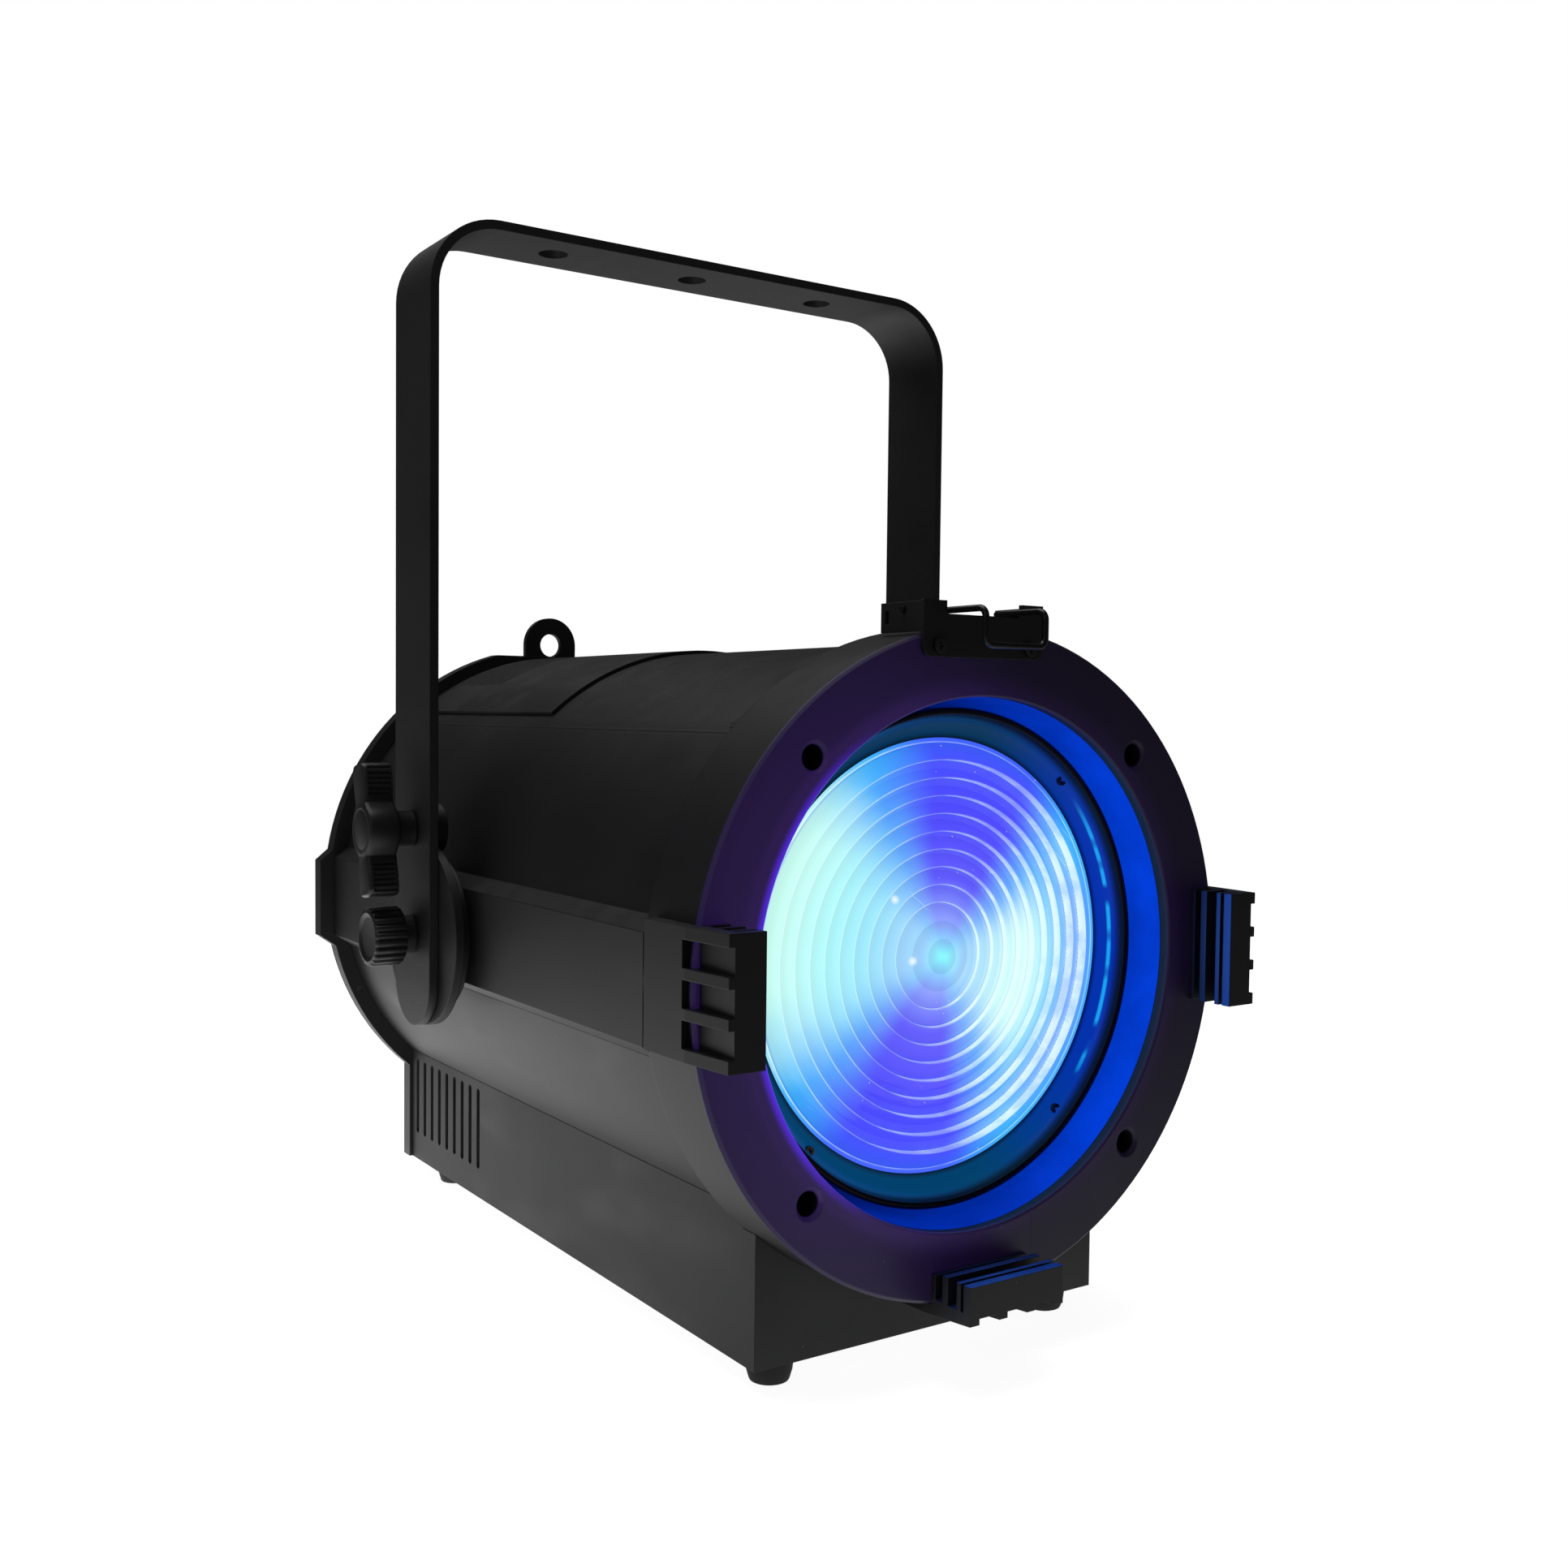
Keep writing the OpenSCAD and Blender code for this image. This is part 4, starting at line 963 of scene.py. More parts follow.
class Wardrobe:
    """Hands out each slot's material, and builds it the first time."""

    def __init__(self, finishes: dict[str, Finish]) -> None:
        """Starts with no material made.

        Args:
            finishes: The finish of each material slot.
        """
        self.finishes = finishes
        self.made: dict[str, bpy.types.Material] = {}

    def get(self, slot: str) -> bpy.types.Material:
        """Returns the material of a slot."""
        if slot not in self.made:
            self.made[slot] = self.finishes[slot].build(f"finish_{slot}")
            log.info("finish %s", slot)
        return self.made[slot]

    def add(self, slot: str, finish: Finish) -> None:
        """Gives a slot its finish, once the frame's sizes are known."""
        self.finishes[slot] = finish

    def dress_node(self, node: str, material: bpy.types.Material | None = None) -> None:
        """Gives a CAD node its material.

        Args:
            node: The node's name.
            material: A finish of its own, or None for its slot's.
        """
        piece = frame["nodes"][node]
        for holder in piece.material_slots:
            holder.material = material or self.get(holder.material.name)


WARDROBE = Wardrobe(FINISHES)


# ---- Mesh building --------------------------------------------------------------------------------


def new_piece(
    name: str, mesh: bpy.types.ID, body: str, slot: str, nodes: tuple[str, ...]
) -> bpy.types.Object:
    """Puts a finished mesh or curve into the scene as a piece of the lamp.

    Args:
        name: The piece's name.
        mesh: Its mesh or curve, in row-frame coordinates.
        body: The CAD body that it moves with.
        slot: The material slot that it takes its finish from.
        nodes: The CAD nodes that it stands for.

    Returns:
        The piece.
    """
    piece = bpy.data.objects.new(name, mesh)
    bpy.context.scene.collection.objects.link(piece)
    mesh.materials.append(WARDROBE.get(slot))
    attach(piece, body)
    if nodes:
        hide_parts(*nodes)
    log.info("piece %s on %s", name, body)
    return piece


def mesh_from(build: bmesh.types.BMesh, name: str, sharp_deg: float = 32.0) -> bpy.types.Mesh:
    """Turns a bmesh into a smooth-shaded mesh with sharp creases.

    Args:
        build: The bmesh, which is freed.
        name: The mesh's name.
        sharp_deg: Edges that turn by more than this stay sharp.

    Returns:
        The mesh.
    """
    bmesh.ops.remove_doubles(build, verts=build.verts, dist=1e-7)
    bmesh.ops.recalc_face_normals(build, faces=build.faces)
    mesh = bpy.data.meshes.new(name)
    build.to_mesh(mesh)
    build.free()
    mesh.shade_smooth()
    mesh.set_sharp_from_angle(angle=math.radians(sharp_deg))
    return mesh


def add_rings(build: bmesh.types.BMesh, rings: list[list[Vector]], closed: bool, caps: bool) -> None:
    """Joins rings of points with quads.

    Args:
        build: The bmesh to add to.
        rings: Rings with the same number of points each.
        closed: Whether the last ring joins the first.
        caps: Whether the first and last rings are filled.
    """
    rows = [[build.verts.new(point) for point in ring] for ring in rings]
    count = len(rows[0])
    pairs = list(zip(rows, rows[1:])) + ([(rows[-1], rows[0])] if closed else [])
    for near, far in pairs:
        for i in range(count):
            j = (i + 1) % count
            build.faces.new((near[i], near[j], far[j], far[i]))
    if caps:
        build.faces.new(rows[0])
        build.faces.new(rows[-1])


def turned(
    build: bmesh.types.BMesh, profile: Profile, segments: int, place: Matrix, closed: bool = True
) -> None:
    """Adds a turned shape about the place's X axis.

    Args:
        build: The bmesh to add to.
        profile: Points as distance along the axis and radius.
        segments: How many sides it has.
        place: Where the axis goes.
        closed: Whether the profile joins up, or is capped at both ends.
    """
    rings = []
    for along, radius in profile:
        ring = []
        for i in range(segments):
            angle = math.tau * i / segments
            ring.append(place @ Vector((along, radius * math.cos(angle), radius * math.sin(angle))))
        rings.append(ring)
    add_rings(build, rings, closed, caps=not closed)


def optical_place() -> Matrix:
    """Returns the frame of the optical axis: X runs back along the lamp."""
    return Matrix.Translation(AXIS.at(0, 0, 0)) @ Matrix(
        ((0, 1, 0, 0), (1, 0, 0, 0), (0, 0, 1, 0), (0, 0, 0, 1))
    )


def arc_points(centre: Vector, first: Vector, second: Vector, radius: float, count: int) -> list[Vector]:
    """Makes a quarter bend.

    Args:
        centre: The bend's centre.
        first: Unit vector from the centre to the bend's start.
        second: Unit vector from the centre to the bend's end.
        radius: The bend's radius.
        count: How many points it has.

    Returns:
        The points, from start to end.
    """
    turns = [math.pi / 2 * i / (count - 1) for i in range(count)]
    return [centre + (first * math.cos(t) + second * math.sin(t)) * radius for t in turns]


# ---- Sub-assemblies -------------------------------------------------------------------------------


@dataclass
class LensUnit:
    """The stepped lens and the lacquered holder that it sits in."""

    steps: int = 9
    dome_r: float = 0.0245
    step_w: float = 0.0082
    dome_rise: float = 0.0046
    valley: float = 0.0003
    base: float = 0.006
    cove_in: float = 0.1005
    cove_out: float = 0.111
    cove_deep: float = 0.010
    lip: float = 0.0009
    bore: float = 0.1115
    rim: float = 0.0
    seat_y: float = 0.0

    def measure(self) -> None:
        """Reads the lens's radius and its seat off the frame."""
        low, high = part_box("fresnel_lens")
        self.rim = (high.x - low.x) / 2
        self.seat_y = high.y - AXIS.face_y - self.base

    def lens_profile(self) -> Profile:
        """Returns the section of the glass, as depth and radius, from the dome to the back."""
        points: Profile = []
        cut = math.cos(math.radians(40))
        for i in range(9):
            angle = math.radians(5 * i)
            rise = self.dome_rise * (math.cos(angle) - cut) / (1 - cut)
            radius = max(self.dome_r * math.sin(angle) / math.sin(math.radians(40)), 1e-5)
            points.append((self.seat_y - self.valley - rise, radius))
        for i in range(self.steps):
            start = self.dome_r + i * self.step_w
            drop = self.step_w * (start + self.step_w) / 0.150
            points.append((self.seat_y - drop, start + 0.00022))
            for part in (0.25, 0.5, 0.75):
                bulge = 0.0005 * math.sin(math.pi * part)
                depth = drop * (1 - part) + self.valley * part + bulge
                points.append((self.seat_y - depth, start + self.step_w * part))
            points.append((self.seat_y - self.valley, start + self.step_w))
        points += [(self.seat_y, self.dome_r + self.steps * self.step_w + 0.0006), (self.seat_y, self.rim)]
        points += [(self.seat_y + self.base, self.rim), (self.seat_y + self.base, 1e-5)]
        return points

    def build_lens(self) -> None:
        """Turns the lens from its section."""
        build = bmesh.new()
        turned(build, self.lens_profile(), 256, optical_place(), closed=False)
        mesh = mesh_from(build, "stepped_lens", 18)
        new_piece("stepped_lens", mesh, "lens_carriage", "lens_glass", ("fresnel_lens",))

    def holder_profile(self) -> Profile:
        """Returns the holder's section, as depth and radius."""
        low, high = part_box("lens_holder")
        front, back = low.y - AXIS.face_y, high.y - AXIS.face_y
        outer = (high.x - low.x) / 2
        cove = []
        for i in range(15):
            angle = math.pi / 2 * i / 14
            radius = self.cove_in + (self.cove_out - self.cove_in) * math.cos(angle)
            cove.append((front + self.lip + self.cove_deep * math.sin(angle), radius))
        lip = [(front + 0.0004, self.cove_out + 0.0002), (front, self.cove_out + 0.0008)]
        edge = [(front, outer - 0.0008), (front + 0.0002, outer - 0.0003), (front + 0.0006, outer)]
        fit = self.rim + 0.00005
        rest = [(front + 0.004, outer), (front + 0.004, self.bore), (back, self.bore), (back, fit)]
        seat = [(self.seat_y, fit), (self.seat_y, self.cove_in)]
        return lip + edge + rest + seat + cove[::-1]

    def build_holder(self) -> None:
        """Turns the holder from its section."""
        build = bmesh.new()
        turned(build, self.holder_profile(), 256, optical_place())
        mesh = mesh_from(build, "lens_margin", 40)
        new_piece("lens_margin", mesh, "lens_carriage", "holder_black", ("lens_holder",))

    def make(self) -> None:
        """Builds the unit and gives it its finishes."""
        self.measure()
        WARDROBE.add("lens_glass", LensGlow(self.rim, self.dome_r, self.step_w))
        WARDROBE.add("holder_black", HolderLacquer(self.cove_in, self.cove_out))
        self.build_lens()
        self.build_holder()


@dataclass
class SleeveLiner:
    """The lit sleeve, rolled from panels that meet at fine joints."""

    joints_deg: tuple[float, ...] = (13.5, 42.0, 76.0, 110.0, 166.5, 194.0, 227.0, 260.5, 285.5, 346.0)
    gap: float = 0.00035
    sheet: float = 0.0012

    def make(self) -> None:
        """Rolls the panels and a thin dark tube behind their joints."""
        low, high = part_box("lens_sleeve")
        outer = (high.x - low.x) / 2
        inner = outer - 0.002
        y0, y1 = low.y - AXIS.face_y, high.y - AXIS.face_y
        build = bmesh.new()
        skin = inner + self.sheet
        turned(build, [(y0, skin), (y0, outer), (y1, outer), (y1, skin)], 192, optical_place())
        for start, end in zip(self.joints_deg, self.joints_deg[1:] + (self.joints_deg[0] + 360.0,)):
            self.roll_panel(build, start, end, inner, y0, y1)
        mesh = mesh_from(build, "sleeve_liner", 40)
        new_piece("sleeve_liner", mesh, "lamp", "sleeve_black", ("lens_sleeve",))

    def roll_panel(
        self, build: bmesh.types.BMesh, start: float, end: float, inner: float, y0: float, y1: float
    ) -> None:
        """Adds one panel.

        Args:
            build: The bmesh to add to.
            start: The angle where it starts, in degrees above the right-hand side.
            end: The angle where it ends.
            inner: The radius of its lit face.
            y0: The depth of its front edge.
            y1: The depth of its back edge.
        """
        trim = math.degrees(self.gap / 2 / inner)
        count = max(int((end - start) / 2), 2)
        rings = []
        for i in range(count + 1):
            angle = math.radians(start + trim + (end - start - 2 * trim) * i / count)
            section = ((y0, inner), (y1, inner), (y1, inner + self.sheet), (y0, inner + self.sheet))
            rings.append([AXIS.at(r * math.cos(angle), depth, r * math.sin(angle)) for depth, r in section])
        add_rings(build, rings, closed=False, caps=True)


@dataclass
class WireLatch:
    """The bent wire that keeps a gel frame in its slot."""

    wire_r: float = 0.0015
    bend: float = 0.004
    leg_x: float = 0.017
    axis_y: float = 0.012

    def make(self) -> None:
        """Bends the wire along its centre line."""
        low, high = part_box("latch_bail")
        middle = (low.x + high.x) / 2
        end_x = (high.x - low.x) / 2
        front = low.y - AXIS.face_y + self.wire_r
        top = high.z - AXIS.height - self.wire_r
        bottom = low.z - AXIS.height + self.wire_r
        half = self.half_path(end_x, front, top, bottom)
        path = [AXIS.at(middle + p.x, p.y, p.z) for p in half]
        path += [AXIS.at(middle - p.x, p.y, p.z) for p in reversed(half)]
        curve = bpy.data.curves.new("latch_wire", "CURVE")
        curve.dimensions = "3D"
        curve.bevel_depth = self.wire_r
        curve.bevel_resolution = 6
        curve.use_fill_caps = True
        spline = curve.splines.new("POLY")
        spline.points.add(len(path) - 1)
        for point, where in zip(spline.points, path):
            point.co = (*where, 1.0)
        spline.use_smooth = True
        new_piece("latch_wire", curve, "latch_bail", "wire_black", ("latch_bail",))

    def half_path(self, end_x: float, front: float, top: float, bottom: float) -> list[Vector]:
        """Lays out the right-hand half of the wire.

        Args:
            end_x: How far out the wire's end is.
            front: The depth of its front run.
            top: The height of its pivots.
            bottom: The height of its lower run.

        Returns:
            The points from the end to the middle.
        """
        right, back, up = Vector((1, 0, 0)), Vector((0, 1, 0)), Vector((0, 0, 1))
        b = self.bend
        points = [Vector((end_x, self.axis_y, top))]
        points += arc_points(Vector((self.leg_x + b, self.axis_y - b, top)), back, -right, b, 10)
        points += arc_points(Vector((self.leg_x, front + b, top - b)), up, -back, b, 10)
        points += arc_points(Vector((self.leg_x - b, front, bottom + b)), right, -up, b, 10)
        return points


@dataclass
class Knobs:
    """The winged lock knobs and the ribbed pivot knobs on both arms of the yoke."""

    gap: float = 0.0004
    wing_half: float = 0.0345
    hub_r: float = 0.014
    lobe_r: float = 0.0084
    neck_r: float = 0.0070
    fillet: float = 0.005
    end_round: float = 0.0055
    rib_start: float = 0.0168
    rib_pitch: float = 0.0026
    rib_deep: float = 0.0011
    tilt_deg: float = 10.0
    flange_x: float = 0.152
    grip_r: float = 0.0152
    ribs: int = 22

    def place(self, side: int, node: str, tilt: float) -> Matrix:
        """Finds a knob's own frame, with X pointing out of the lamp.

        Args:
            side: 1 for the right-hand side and -1 for the left.
            node: The CAD node of the knob.
            tilt: How far it leans, in radians.

        Returns:
            The frame at the outside of the yoke's arm.
        """
        middle = middle_of(node)
        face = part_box("yoke")[1].x + self.gap
        turn = Matrix.Rotation(-tilt, 4, "X")
        mirror = Matrix.Diagonal((side, 1, 1, 1))
        return mirror @ Matrix.Translation((face, middle.y, middle.z)) @ turn

    def wing_outline(self, inset: float, ribbed: bool) -> list[tuple[float, float]]:
        """Draws the wing's outline.

        Args:
            inset: How far inside the full outline it runs.
            ribbed: Whether the finger ribs are cut into it.

        Returns:
            Points as width and height, all the way round.
        """
        count = 300
        side = []
        for i in range(count + 1):
            t = -math.cos(math.pi * i / count)
            z = t * (self.wing_half - inset)
            side.append((self.half_width(abs(z), inset, ribbed), z))
        return side + [(-y, z) for y, z in reversed(side[1:-1])]

    def half_width(self, z: float, inset: float, ribbed: bool) -> float:
        """Finds the wing's half width.

        Args:
            z: The distance from the hub's centre.
            inset: How far inside the full outline to stay.
            ribbed: Whether the finger ribs are cut.

        Returns:
            The half width there.
        """
        hub = math.sqrt(max(self.hub_r**2 - z**2, 0.0))
        swell = self.neck_r + (self.lobe_r - self.neck_r) * min(max((z - 0.014) / 0.009, 0.0), 1.0)
        near = max(self.fillet - abs(hub - swell), 0.0)
        width = max(hub, swell) + near**2 / (4 * self.fillet)
        end = self.wing_half - self.end_round
        if z > end:
            t = min((z - end) / self.end_round, 1.0)
            width *= (1 - t**2.6) ** (1 / 2.6)
        if ribbed and self.rib_start < z < self.rib_start + 6 * self.rib_pitch:
            wave = 0.5 - 0.5 * math.cos(math.tau * (z - self.rib_start) / self.rib_pitch)
            width -= self.rib_deep * wave
        return max(width - inset, 0.00005)

    def build_lock(self, side: int, node: str, body: str, name: str) -> None:
        """Builds one lock knob: its stud collar, its wing and its hub.

        Args:
            side: 1 for the right-hand side and -1 for the left.
            node: The CAD node that it stands for.
            body: The CAD body that it rides on.
            name: The piece's name.
        """
        place = self.place(side, node, math.radians(self.tilt_deg))
        build = bmesh.new()
        layers = [
            (0.0110, 0.0014, False), (0.0112, 0.0008, False), (0.0118, 0.0002, True), (0.0126, 0.0, True),
            (0.0236, 0.0, True), (0.0244, 0.0, False), (0.0256, 0.0002, False), (0.0264, 0.0007, False),
            (0.0268, 0.0015, False),
        ]
        rings = []
        for along, inset, ribbed in layers:
            rings.append([place @ Vector((along, y, z)) for y, z in self.wing_outline(inset, ribbed)])
        add_rings(build, rings, closed=False, caps=True)
        hub = self.hub_r
        turned(build, [
            (0.0105, 0.0100), (0.0105, hub - 0.0012), (0.0112, hub - 0.0003), (0.0120, hub), (0.0258, hub),
            (0.0266, hub - 0.0006), (0.02695, hub - 0.0014), (0.02695, 0.0112), (0.0266, 0.0108),
            (0.0262, 0.0106), (0.0262, 0.0098), (0.0266, 0.0095), (0.02690, 0.0091), (0.0269, 0.0002),
        ], 72, place, closed=False)
        turned(build, [
            (0.0, 0.0088), (0.0006, 0.0095), (0.0085, 0.0095), (0.0098, 0.0102), (0.0106, 0.0115),
            (0.0110, 0.0115),
        ], 64, place, closed=False)
        inside = self.flange_x - (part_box("yoke")[1].x + self.gap)
        stud = [(inside, 0.0034), (inside + 0.0005, 0.0039), (0.0015, 0.0039)]
        turned(build, stud, 32, place, closed=False)
        new_piece(name, mesh_from(build, name, 38), body, "knob_black", (node,))

    def build_pivot(self, side: int, node: str, body: str, name: str) -> None:
        """Builds one ribbed pivot knob.

        Args:
            side: 1 for the right-hand side and -1 for the left.
            node: The CAD node that it stands for.
            body: The CAD body that it rides on.
            name: The piece's name.
        """
        place = self.place(side, node, 0.0)
        build = bmesh.new()
        sides = self.ribs * 12
        layers = [
            (0.0070, 0.0030, 0.0), (0.0070, 0.0010, 0.4), (0.0074, 0.0004, 1.0), (0.0082, 0.0, 1.0),
            (0.0222, 0.0, 1.0), (0.0232, 0.0005, 0.7), (0.0237, 0.0014, 0.2), (0.0238, 0.0024, 0.0),
        ]
        rings = []
        for along, inset, cut in layers:
            ring = []
            for i in range(sides):
                angle = math.tau * i / sides
                groove = (0.5 + 0.5 * math.cos(self.ribs * angle)) ** 2.2
                radius = self.grip_r - inset - 0.0013 * cut * groove
                ring.append(place @ Vector((along, radius * math.cos(angle), radius * math.sin(angle))))
            rings.append(ring)
        add_rings(build, rings, closed=False, caps=False)
        turned(build, [
            (0.0070, 0.0122), (0.0238, 0.0128), (0.0236, 0.0116), (0.0228, 0.0108), (0.0226, 0.0100),
            (0.0226, 0.0030), (0.0224, 0.0002),
        ], sides, place, closed=False)
        turned(build, [
            (0.0, 0.0052), (0.0, 0.0092), (0.0007, 0.0100), (0.0060, 0.0100), (0.0070, 0.0108),
            (0.0070, 0.0052),
        ], 64, place)
        new_piece(name, mesh_from(build, name, 38), body, "knob_black", (node,))

    def make(self) -> None:
        """Builds all four knobs."""
        for side, hand in ((1, "right"), (-1, "left")):
            self.build_lock(side, f"lock_knob_{hand}", f"lock_knob_{hand}", f"wing_knob_{hand}")
            self.build_pivot(side, f"pivot_knob_{hand}", f"pivot_knob_{hand}", f"ribbed_knob_{hand}")


@dataclass
class Feet:
    """Four rubber feet with a rounded tread and a recess for the screw."""

    top_r: float = 0.0112
    low_r: float = 0.0092
    bore_r: float = 0.0021

    def make(self) -> None:
        """Turns the four feet as one piece."""
        low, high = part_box("rubber_feet")
        tall = high.z
        upright = Matrix(((0, 0, 1, 0), (0, 1, 0, 0), (1, 0, 0, 0), (0, 0, 0, 1)))
        build = bmesh.new()
        foot, top, crown = self.low_r, self.top_r, tall - 0.0001
        profile = [
            (0.0, 0.0052), (0.0, foot - 0.0012), (0.0004, foot - 0.0003), (0.0012, foot + 0.0001),
            (0.0050, foot + 0.0012), (tall - 0.0020, top - 0.0003), (tall - 0.0008, top),
            (crown, top), (crown, self.bore_r), (0.0050, self.bore_r), (0.0050, 0.0052),
        ]
        for x in (low.x + self.top_r, high.x - self.top_r):
            for y in (low.y + self.top_r, high.y - self.top_r):
                turned(build, profile, 64, Matrix.Translation((x, y, 0)) @ upright)
        new_piece("tread_feet", mesh_from(build, "tread_feet", 38), "lamp", "rubber_black", ("rubber_feet",))


@dataclass
class MenuPanel:
    """The display's glass and the four domed buttons on the rear panel."""

    button_r: float = 0.0045

    def make(self) -> None:
        """Dresses the display and turns the button caps."""
        low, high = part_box("display_window")
        WARDROBE.add("display_glass", MenuGlass(low.x, high.x, low.z, high.z))
        for number in (1, 2, 3, 4):
            self.build_button(number)

    def build_button(self, number: int) -> None:
        """Turns one domed button cap.

        Args:
            number: Which button, from the left as seen from the front.
        """
        node = f"button_{number}"
        low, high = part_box(node)
        turn = Matrix(((0, 1, 0, 0), (1, 0, 0, 0), (0, 0, 1, 0), (0, 0, 0, 1)))
        place = Matrix.Translation(((low.x + high.x) / 2, 0, (low.z + high.z) / 2)) @ turn
        r, root, tip = self.button_r, low.y, high.y
        profile = [
            (root, 0.0004), (root, r - 0.0002), (root + 0.0002, r), (tip - 0.0014, r),
            (tip - 0.0008, r - 0.0003), (tip - 0.0004, r - 0.0010), (tip - 0.0002, r - 0.0020),
            (tip - 0.0005, 0.0016), (tip - 0.0006, 0.0004),
        ]
        build = bmesh.new()
        turned(build, profile, 48, place, closed=False)
        new_piece(f"menu_button_{number}", mesh_from(build, node + "_cap", 45), node, "button_grey", (node,))


@dataclass
class Casing:
    """The top shell and the side rails, which meet along a joint on each side."""

    coat: ShellCoat = ShellCoat(
        (0.0122, 0.0122, 0.0136), (0.0165, 0.0163, 0.0172), 0.44, edge=0.0007, rub=0.3
    )
    nodes: tuple[str, ...] = ("upper_shell", "side_rail_left", "side_rail_right")

    def make(self) -> None:
        """Dresses the shell and the rails."""
        finish = self.coat.build("finish_casing")
        for node in self.nodes:
            WARDROBE.dress_node(node, finish)
            log.info("dressed %s", node)


@dataclass
class FrontCasting:
    """The front ring, which catches the lens's light."""

    coat: RingCoat = RingCoat((0.0125, 0.012, 0.0145), (0.016, 0.0155, 0.018), 0.45, edge=0.0009, rub=0.3)

    def make(self) -> None:
        """Dresses the ring."""
        WARDROBE.dress_node("front_ring", self.coat.build("finish_front_ring"))
        log.info("dressed front_ring")


def dress_rest(done: tuple[str, ...]) -> None:
    """Gives every CAD node that still shows its slot's finish.

    Args:
        done: The nodes that have a finish of their own.
    """
    for name, piece in frame["nodes"].items():
        if not piece.hide_render and name not in done:
            WARDROBE.dress_node(name)
            log.info("dressed %s", name)


# ---- Stage, lights and camera ---------------------------------------------------------------------


@dataclass
class Studio:
    """A pale floor that runs out into white, soft lamps overhead and the camera."""

    floor_r: float = 2.6
    floor_sides: int = 96
    glow_front: float = 0.10
    glow_back: float = 1.20
    glow_seen: float = 0.93
    camera_at: Point = (-0.4685, -0.7441, 0.2934)
    yaw_deg: float = -34.05
    pitch_deg: float = 2.43
    roll: float = 0.011
    lens_mm: float = 36.62

    def build_floor(self) -> None:
        """Lays the floor and fades its far edge."""
        build = bmesh.new()
        rings = []
        for radius in (0.02, 0.3, 0.8, 1.6, self.floor_r):
            rings.append([Vector((radius * math.cos(a), radius * math.sin(a), 0)) for a in self.angles()])
        add_rings(build, rings, closed=False, caps=False)
        build.faces.new(build.verts[:self.floor_sides])
        floor = bpy.data.objects.new("studio_floor", mesh_from(build, "studio_floor"))
        bpy.context.scene.collection.objects.link(floor)
        material, graph, shader, place = open_material("floor_paper")
        tone = graph.noise(place, 3.0, 3.0, 0.5)
        seen = graph.add("ShaderNodeLightPath").outputs["Is Camera Ray"]
        paper = graph.mix(tone, (0.86, 0.86, 0.86), (0.89, 0.89, 0.89))
        graph.feed(shader.inputs["Base Color"], graph.mix(seen, (0.30, 0.30, 0.30), paper))
        shader.inputs["Roughness"].default_value = 0.8
        shader.inputs["Specular IOR Level"].default_value = 0.1
        length = graph.add("ShaderNodeVectorMath", operation="LENGTH")
        graph.feed(length.inputs[0], place)
        back = graph.remap(graph.split(place)[1], -0.6, 0.4, self.glow_front, self.glow_back)
        back = graph.times(back, graph.remap(length.outputs["Value"], 0.42, 1.10, 1.0, 0.06))
        level = graph.add("ShaderNodeMix", data_type="FLOAT")
        for number, value in ((0, seen), (2, back), (3, self.glow_seen)):
            graph.feed(level.inputs[number], value)
        graph.feed(shader.inputs["Emission Color"], graph.grey(level.outputs[0]))
        shader.inputs["Emission Strength"].default_value = 1.0
        fade = graph.remap(length.outputs["Value"], 0.9, self.floor_r - 0.1)
        clear = graph.add("ShaderNodeBsdfTransparent")
        both = graph.add("ShaderNodeMixShader")
        graph.feed(both.inputs[0], fade)
        graph.feed(both.inputs[1], shader.outputs[0])
        graph.feed(both.inputs[2], clear.outputs[0])
        output = next(n for n in graph.tree.nodes if n.type == "OUTPUT_MATERIAL")
        graph.feed(output.inputs[0], both.outputs[0])
        floor.data.materials.append(material)

    def angles(self) -> list[float]:
        """Returns the directions of the floor's points."""
        return [math.tau * i / self.floor_sides for i in range(self.floor_sides)]

    def build_world(self) -> None:
        """Makes the surroundings: white to the camera, a dim room to everything else."""
        world = bpy.data.worlds.new("studio_room")
        bpy.context.scene.world = world
        world.use_nodes = True
        graph = Graph(world.node_tree)
        sky = next(n for n in world.node_tree.nodes if n.type == "BACKGROUND")
        direction = graph.add("ShaderNodeTexCoord").outputs["Generated"]
        height = graph.math("MULTIPLY_ADD", graph.split(direction)[2], 0.5, 0.5)
        room = graph.ramp(height, [
            (0.0, (0.5, 0.5, 0.5)), (0.46, (0.08, 0.08, 0.082)), (0.50, (0.05, 0.05, 0.052)),
            (0.62, (0.02, 0.02, 0.021)), (0.85, (0.035, 0.035, 0.037)), (1.0, (0.09, 0.09, 0.095)),
        ])
        seen = graph.add("ShaderNodeLightPath").outputs["Is Camera Ray"]
        graph.feed(sky.inputs["Color"], graph.mix(seen, room, (1.0, 1.0, 1.0)))

    def add_lamp(
        self, name: str, at: Point, to: Point, size: float, watts: float, colour: Colour
    ) -> bpy.types.Object:
        """Hangs one soft area lamp.

        Args:
            name: The lamp's name.
            at: Where it hangs.
            to: What it points at.
            size: The side of its square face.
            watts: Its power.
            colour: Its colour.

        Returns:
            The lamp.
        """
        data = bpy.data.lights.new(name, "AREA")
        data.size = size
        data.energy = watts
        data.color = colour
        lamp = bpy.data.objects.new(name, data)
        bpy.context.scene.collection.objects.link(lamp)
        lamp.location = at
        lamp.rotation_mode = "QUATERNION"
        lamp.rotation_quaternion = (Vector(to) - Vector(at)).to_track_quat("-Z", "Y")
        lamp.visible_camera = False
        return lamp

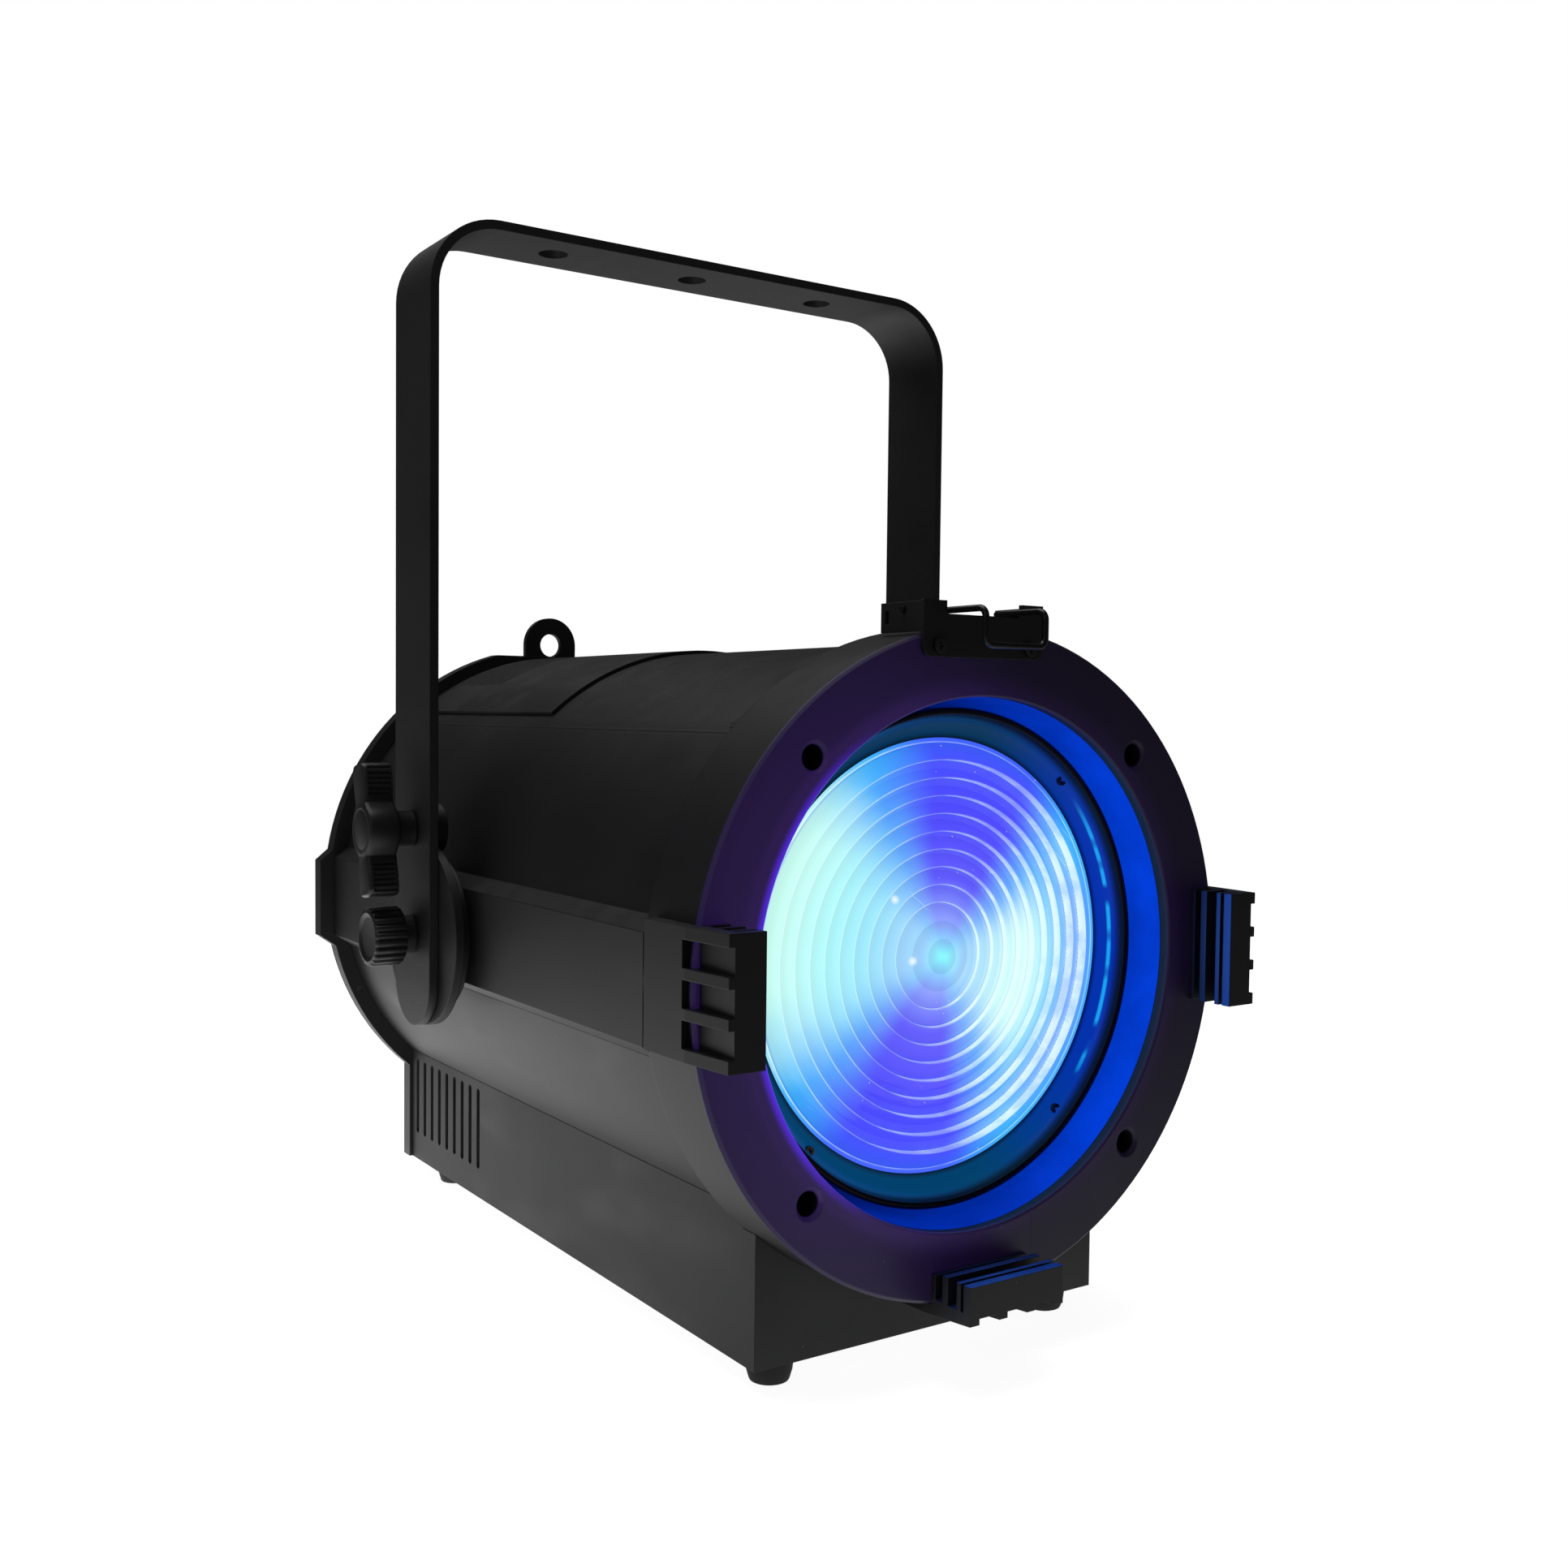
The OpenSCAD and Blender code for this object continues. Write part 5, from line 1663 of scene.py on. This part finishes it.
    def build_lamps(self) -> None:
        """Hangs the overhead softbox, a low side fill and the lens's blue spill on the clips."""
        self.add_lamp("soft_top", (-0.3, 0.5, 2.3), (0, 0, 0), 2.2, 24.0, (1.0, 1.0, 1.0))
        self.add_lamp("soft_side", (-2.0, -1.2, 1.3), (0, 0, 0.2), 1.2, 2.0, (1.0, 0.99, 0.98))
        mouth, ahead = tuple(AXIS.at(0, 0.004, 0)), tuple(AXIS.at(0, -1.0, 0))
        spill = self.add_lamp("lens_spill", mouth, ahead, 0.19, 1.4, (0.0, 0.12, 1.0))
        lit = bpy.data.collections.new("lit_by_lens")
        for node in ("gel_clip_left", "gel_clip_right", "gel_clip_bottom", "latch_bracket"):
            lit.objects.link(frame["nodes"][node])
        spill.light_linking.receiver_collection = lit

    def build_camera(self) -> None:
        """Sets up the camera in front of the lamp's left side."""
        yaw, pitch = math.radians(self.yaw_deg), math.radians(self.pitch_deg)
        flat = math.cos(pitch)
        forward = Vector((-math.sin(yaw) * flat, math.cos(yaw) * flat, -math.sin(pitch)))
        level = Vector((math.cos(yaw), math.sin(yaw), 0))
        upward = level.cross(forward)
        right = level * math.cos(self.roll) + upward * math.sin(self.roll)
        up = upward * math.cos(self.roll) - level * math.sin(self.roll)
        data = bpy.data.cameras.new("studio_camera")
        data.lens = self.lens_mm
        data.sensor_width = 36.0
        camera = bpy.data.objects.new("studio_camera", data)
        bpy.context.scene.collection.objects.link(camera)
        turn = Matrix((right, up, -forward)).transposed().to_4x4()
        camera.matrix_world = Matrix.Translation(self.camera_at) @ turn
        bpy.context.scene.camera = camera

    def make(self) -> None:
        """Builds the whole studio."""
        bpy.context.scene.view_settings.view_transform = "Standard"
        self.build_floor()
        self.build_world()
        self.build_lamps()
        self.build_camera()
        log.info("studio ready")


def main() -> None:
    """Builds the lamp's pieces in order, dresses the rest and sets the stage."""
    logging.basicConfig(level=logging.INFO, format="%(name)s: %(message)s")
    casing = Casing()
    pieces = (LensUnit(), SleeveLiner(), WireLatch(), Knobs(), Feet(), MenuPanel())
    for part in (*pieces, casing, FrontCasting()):
        part.make()
    dress_rest(("front_ring", *casing.nodes))
    Studio().make()


if __name__ == "__main__":
    main()
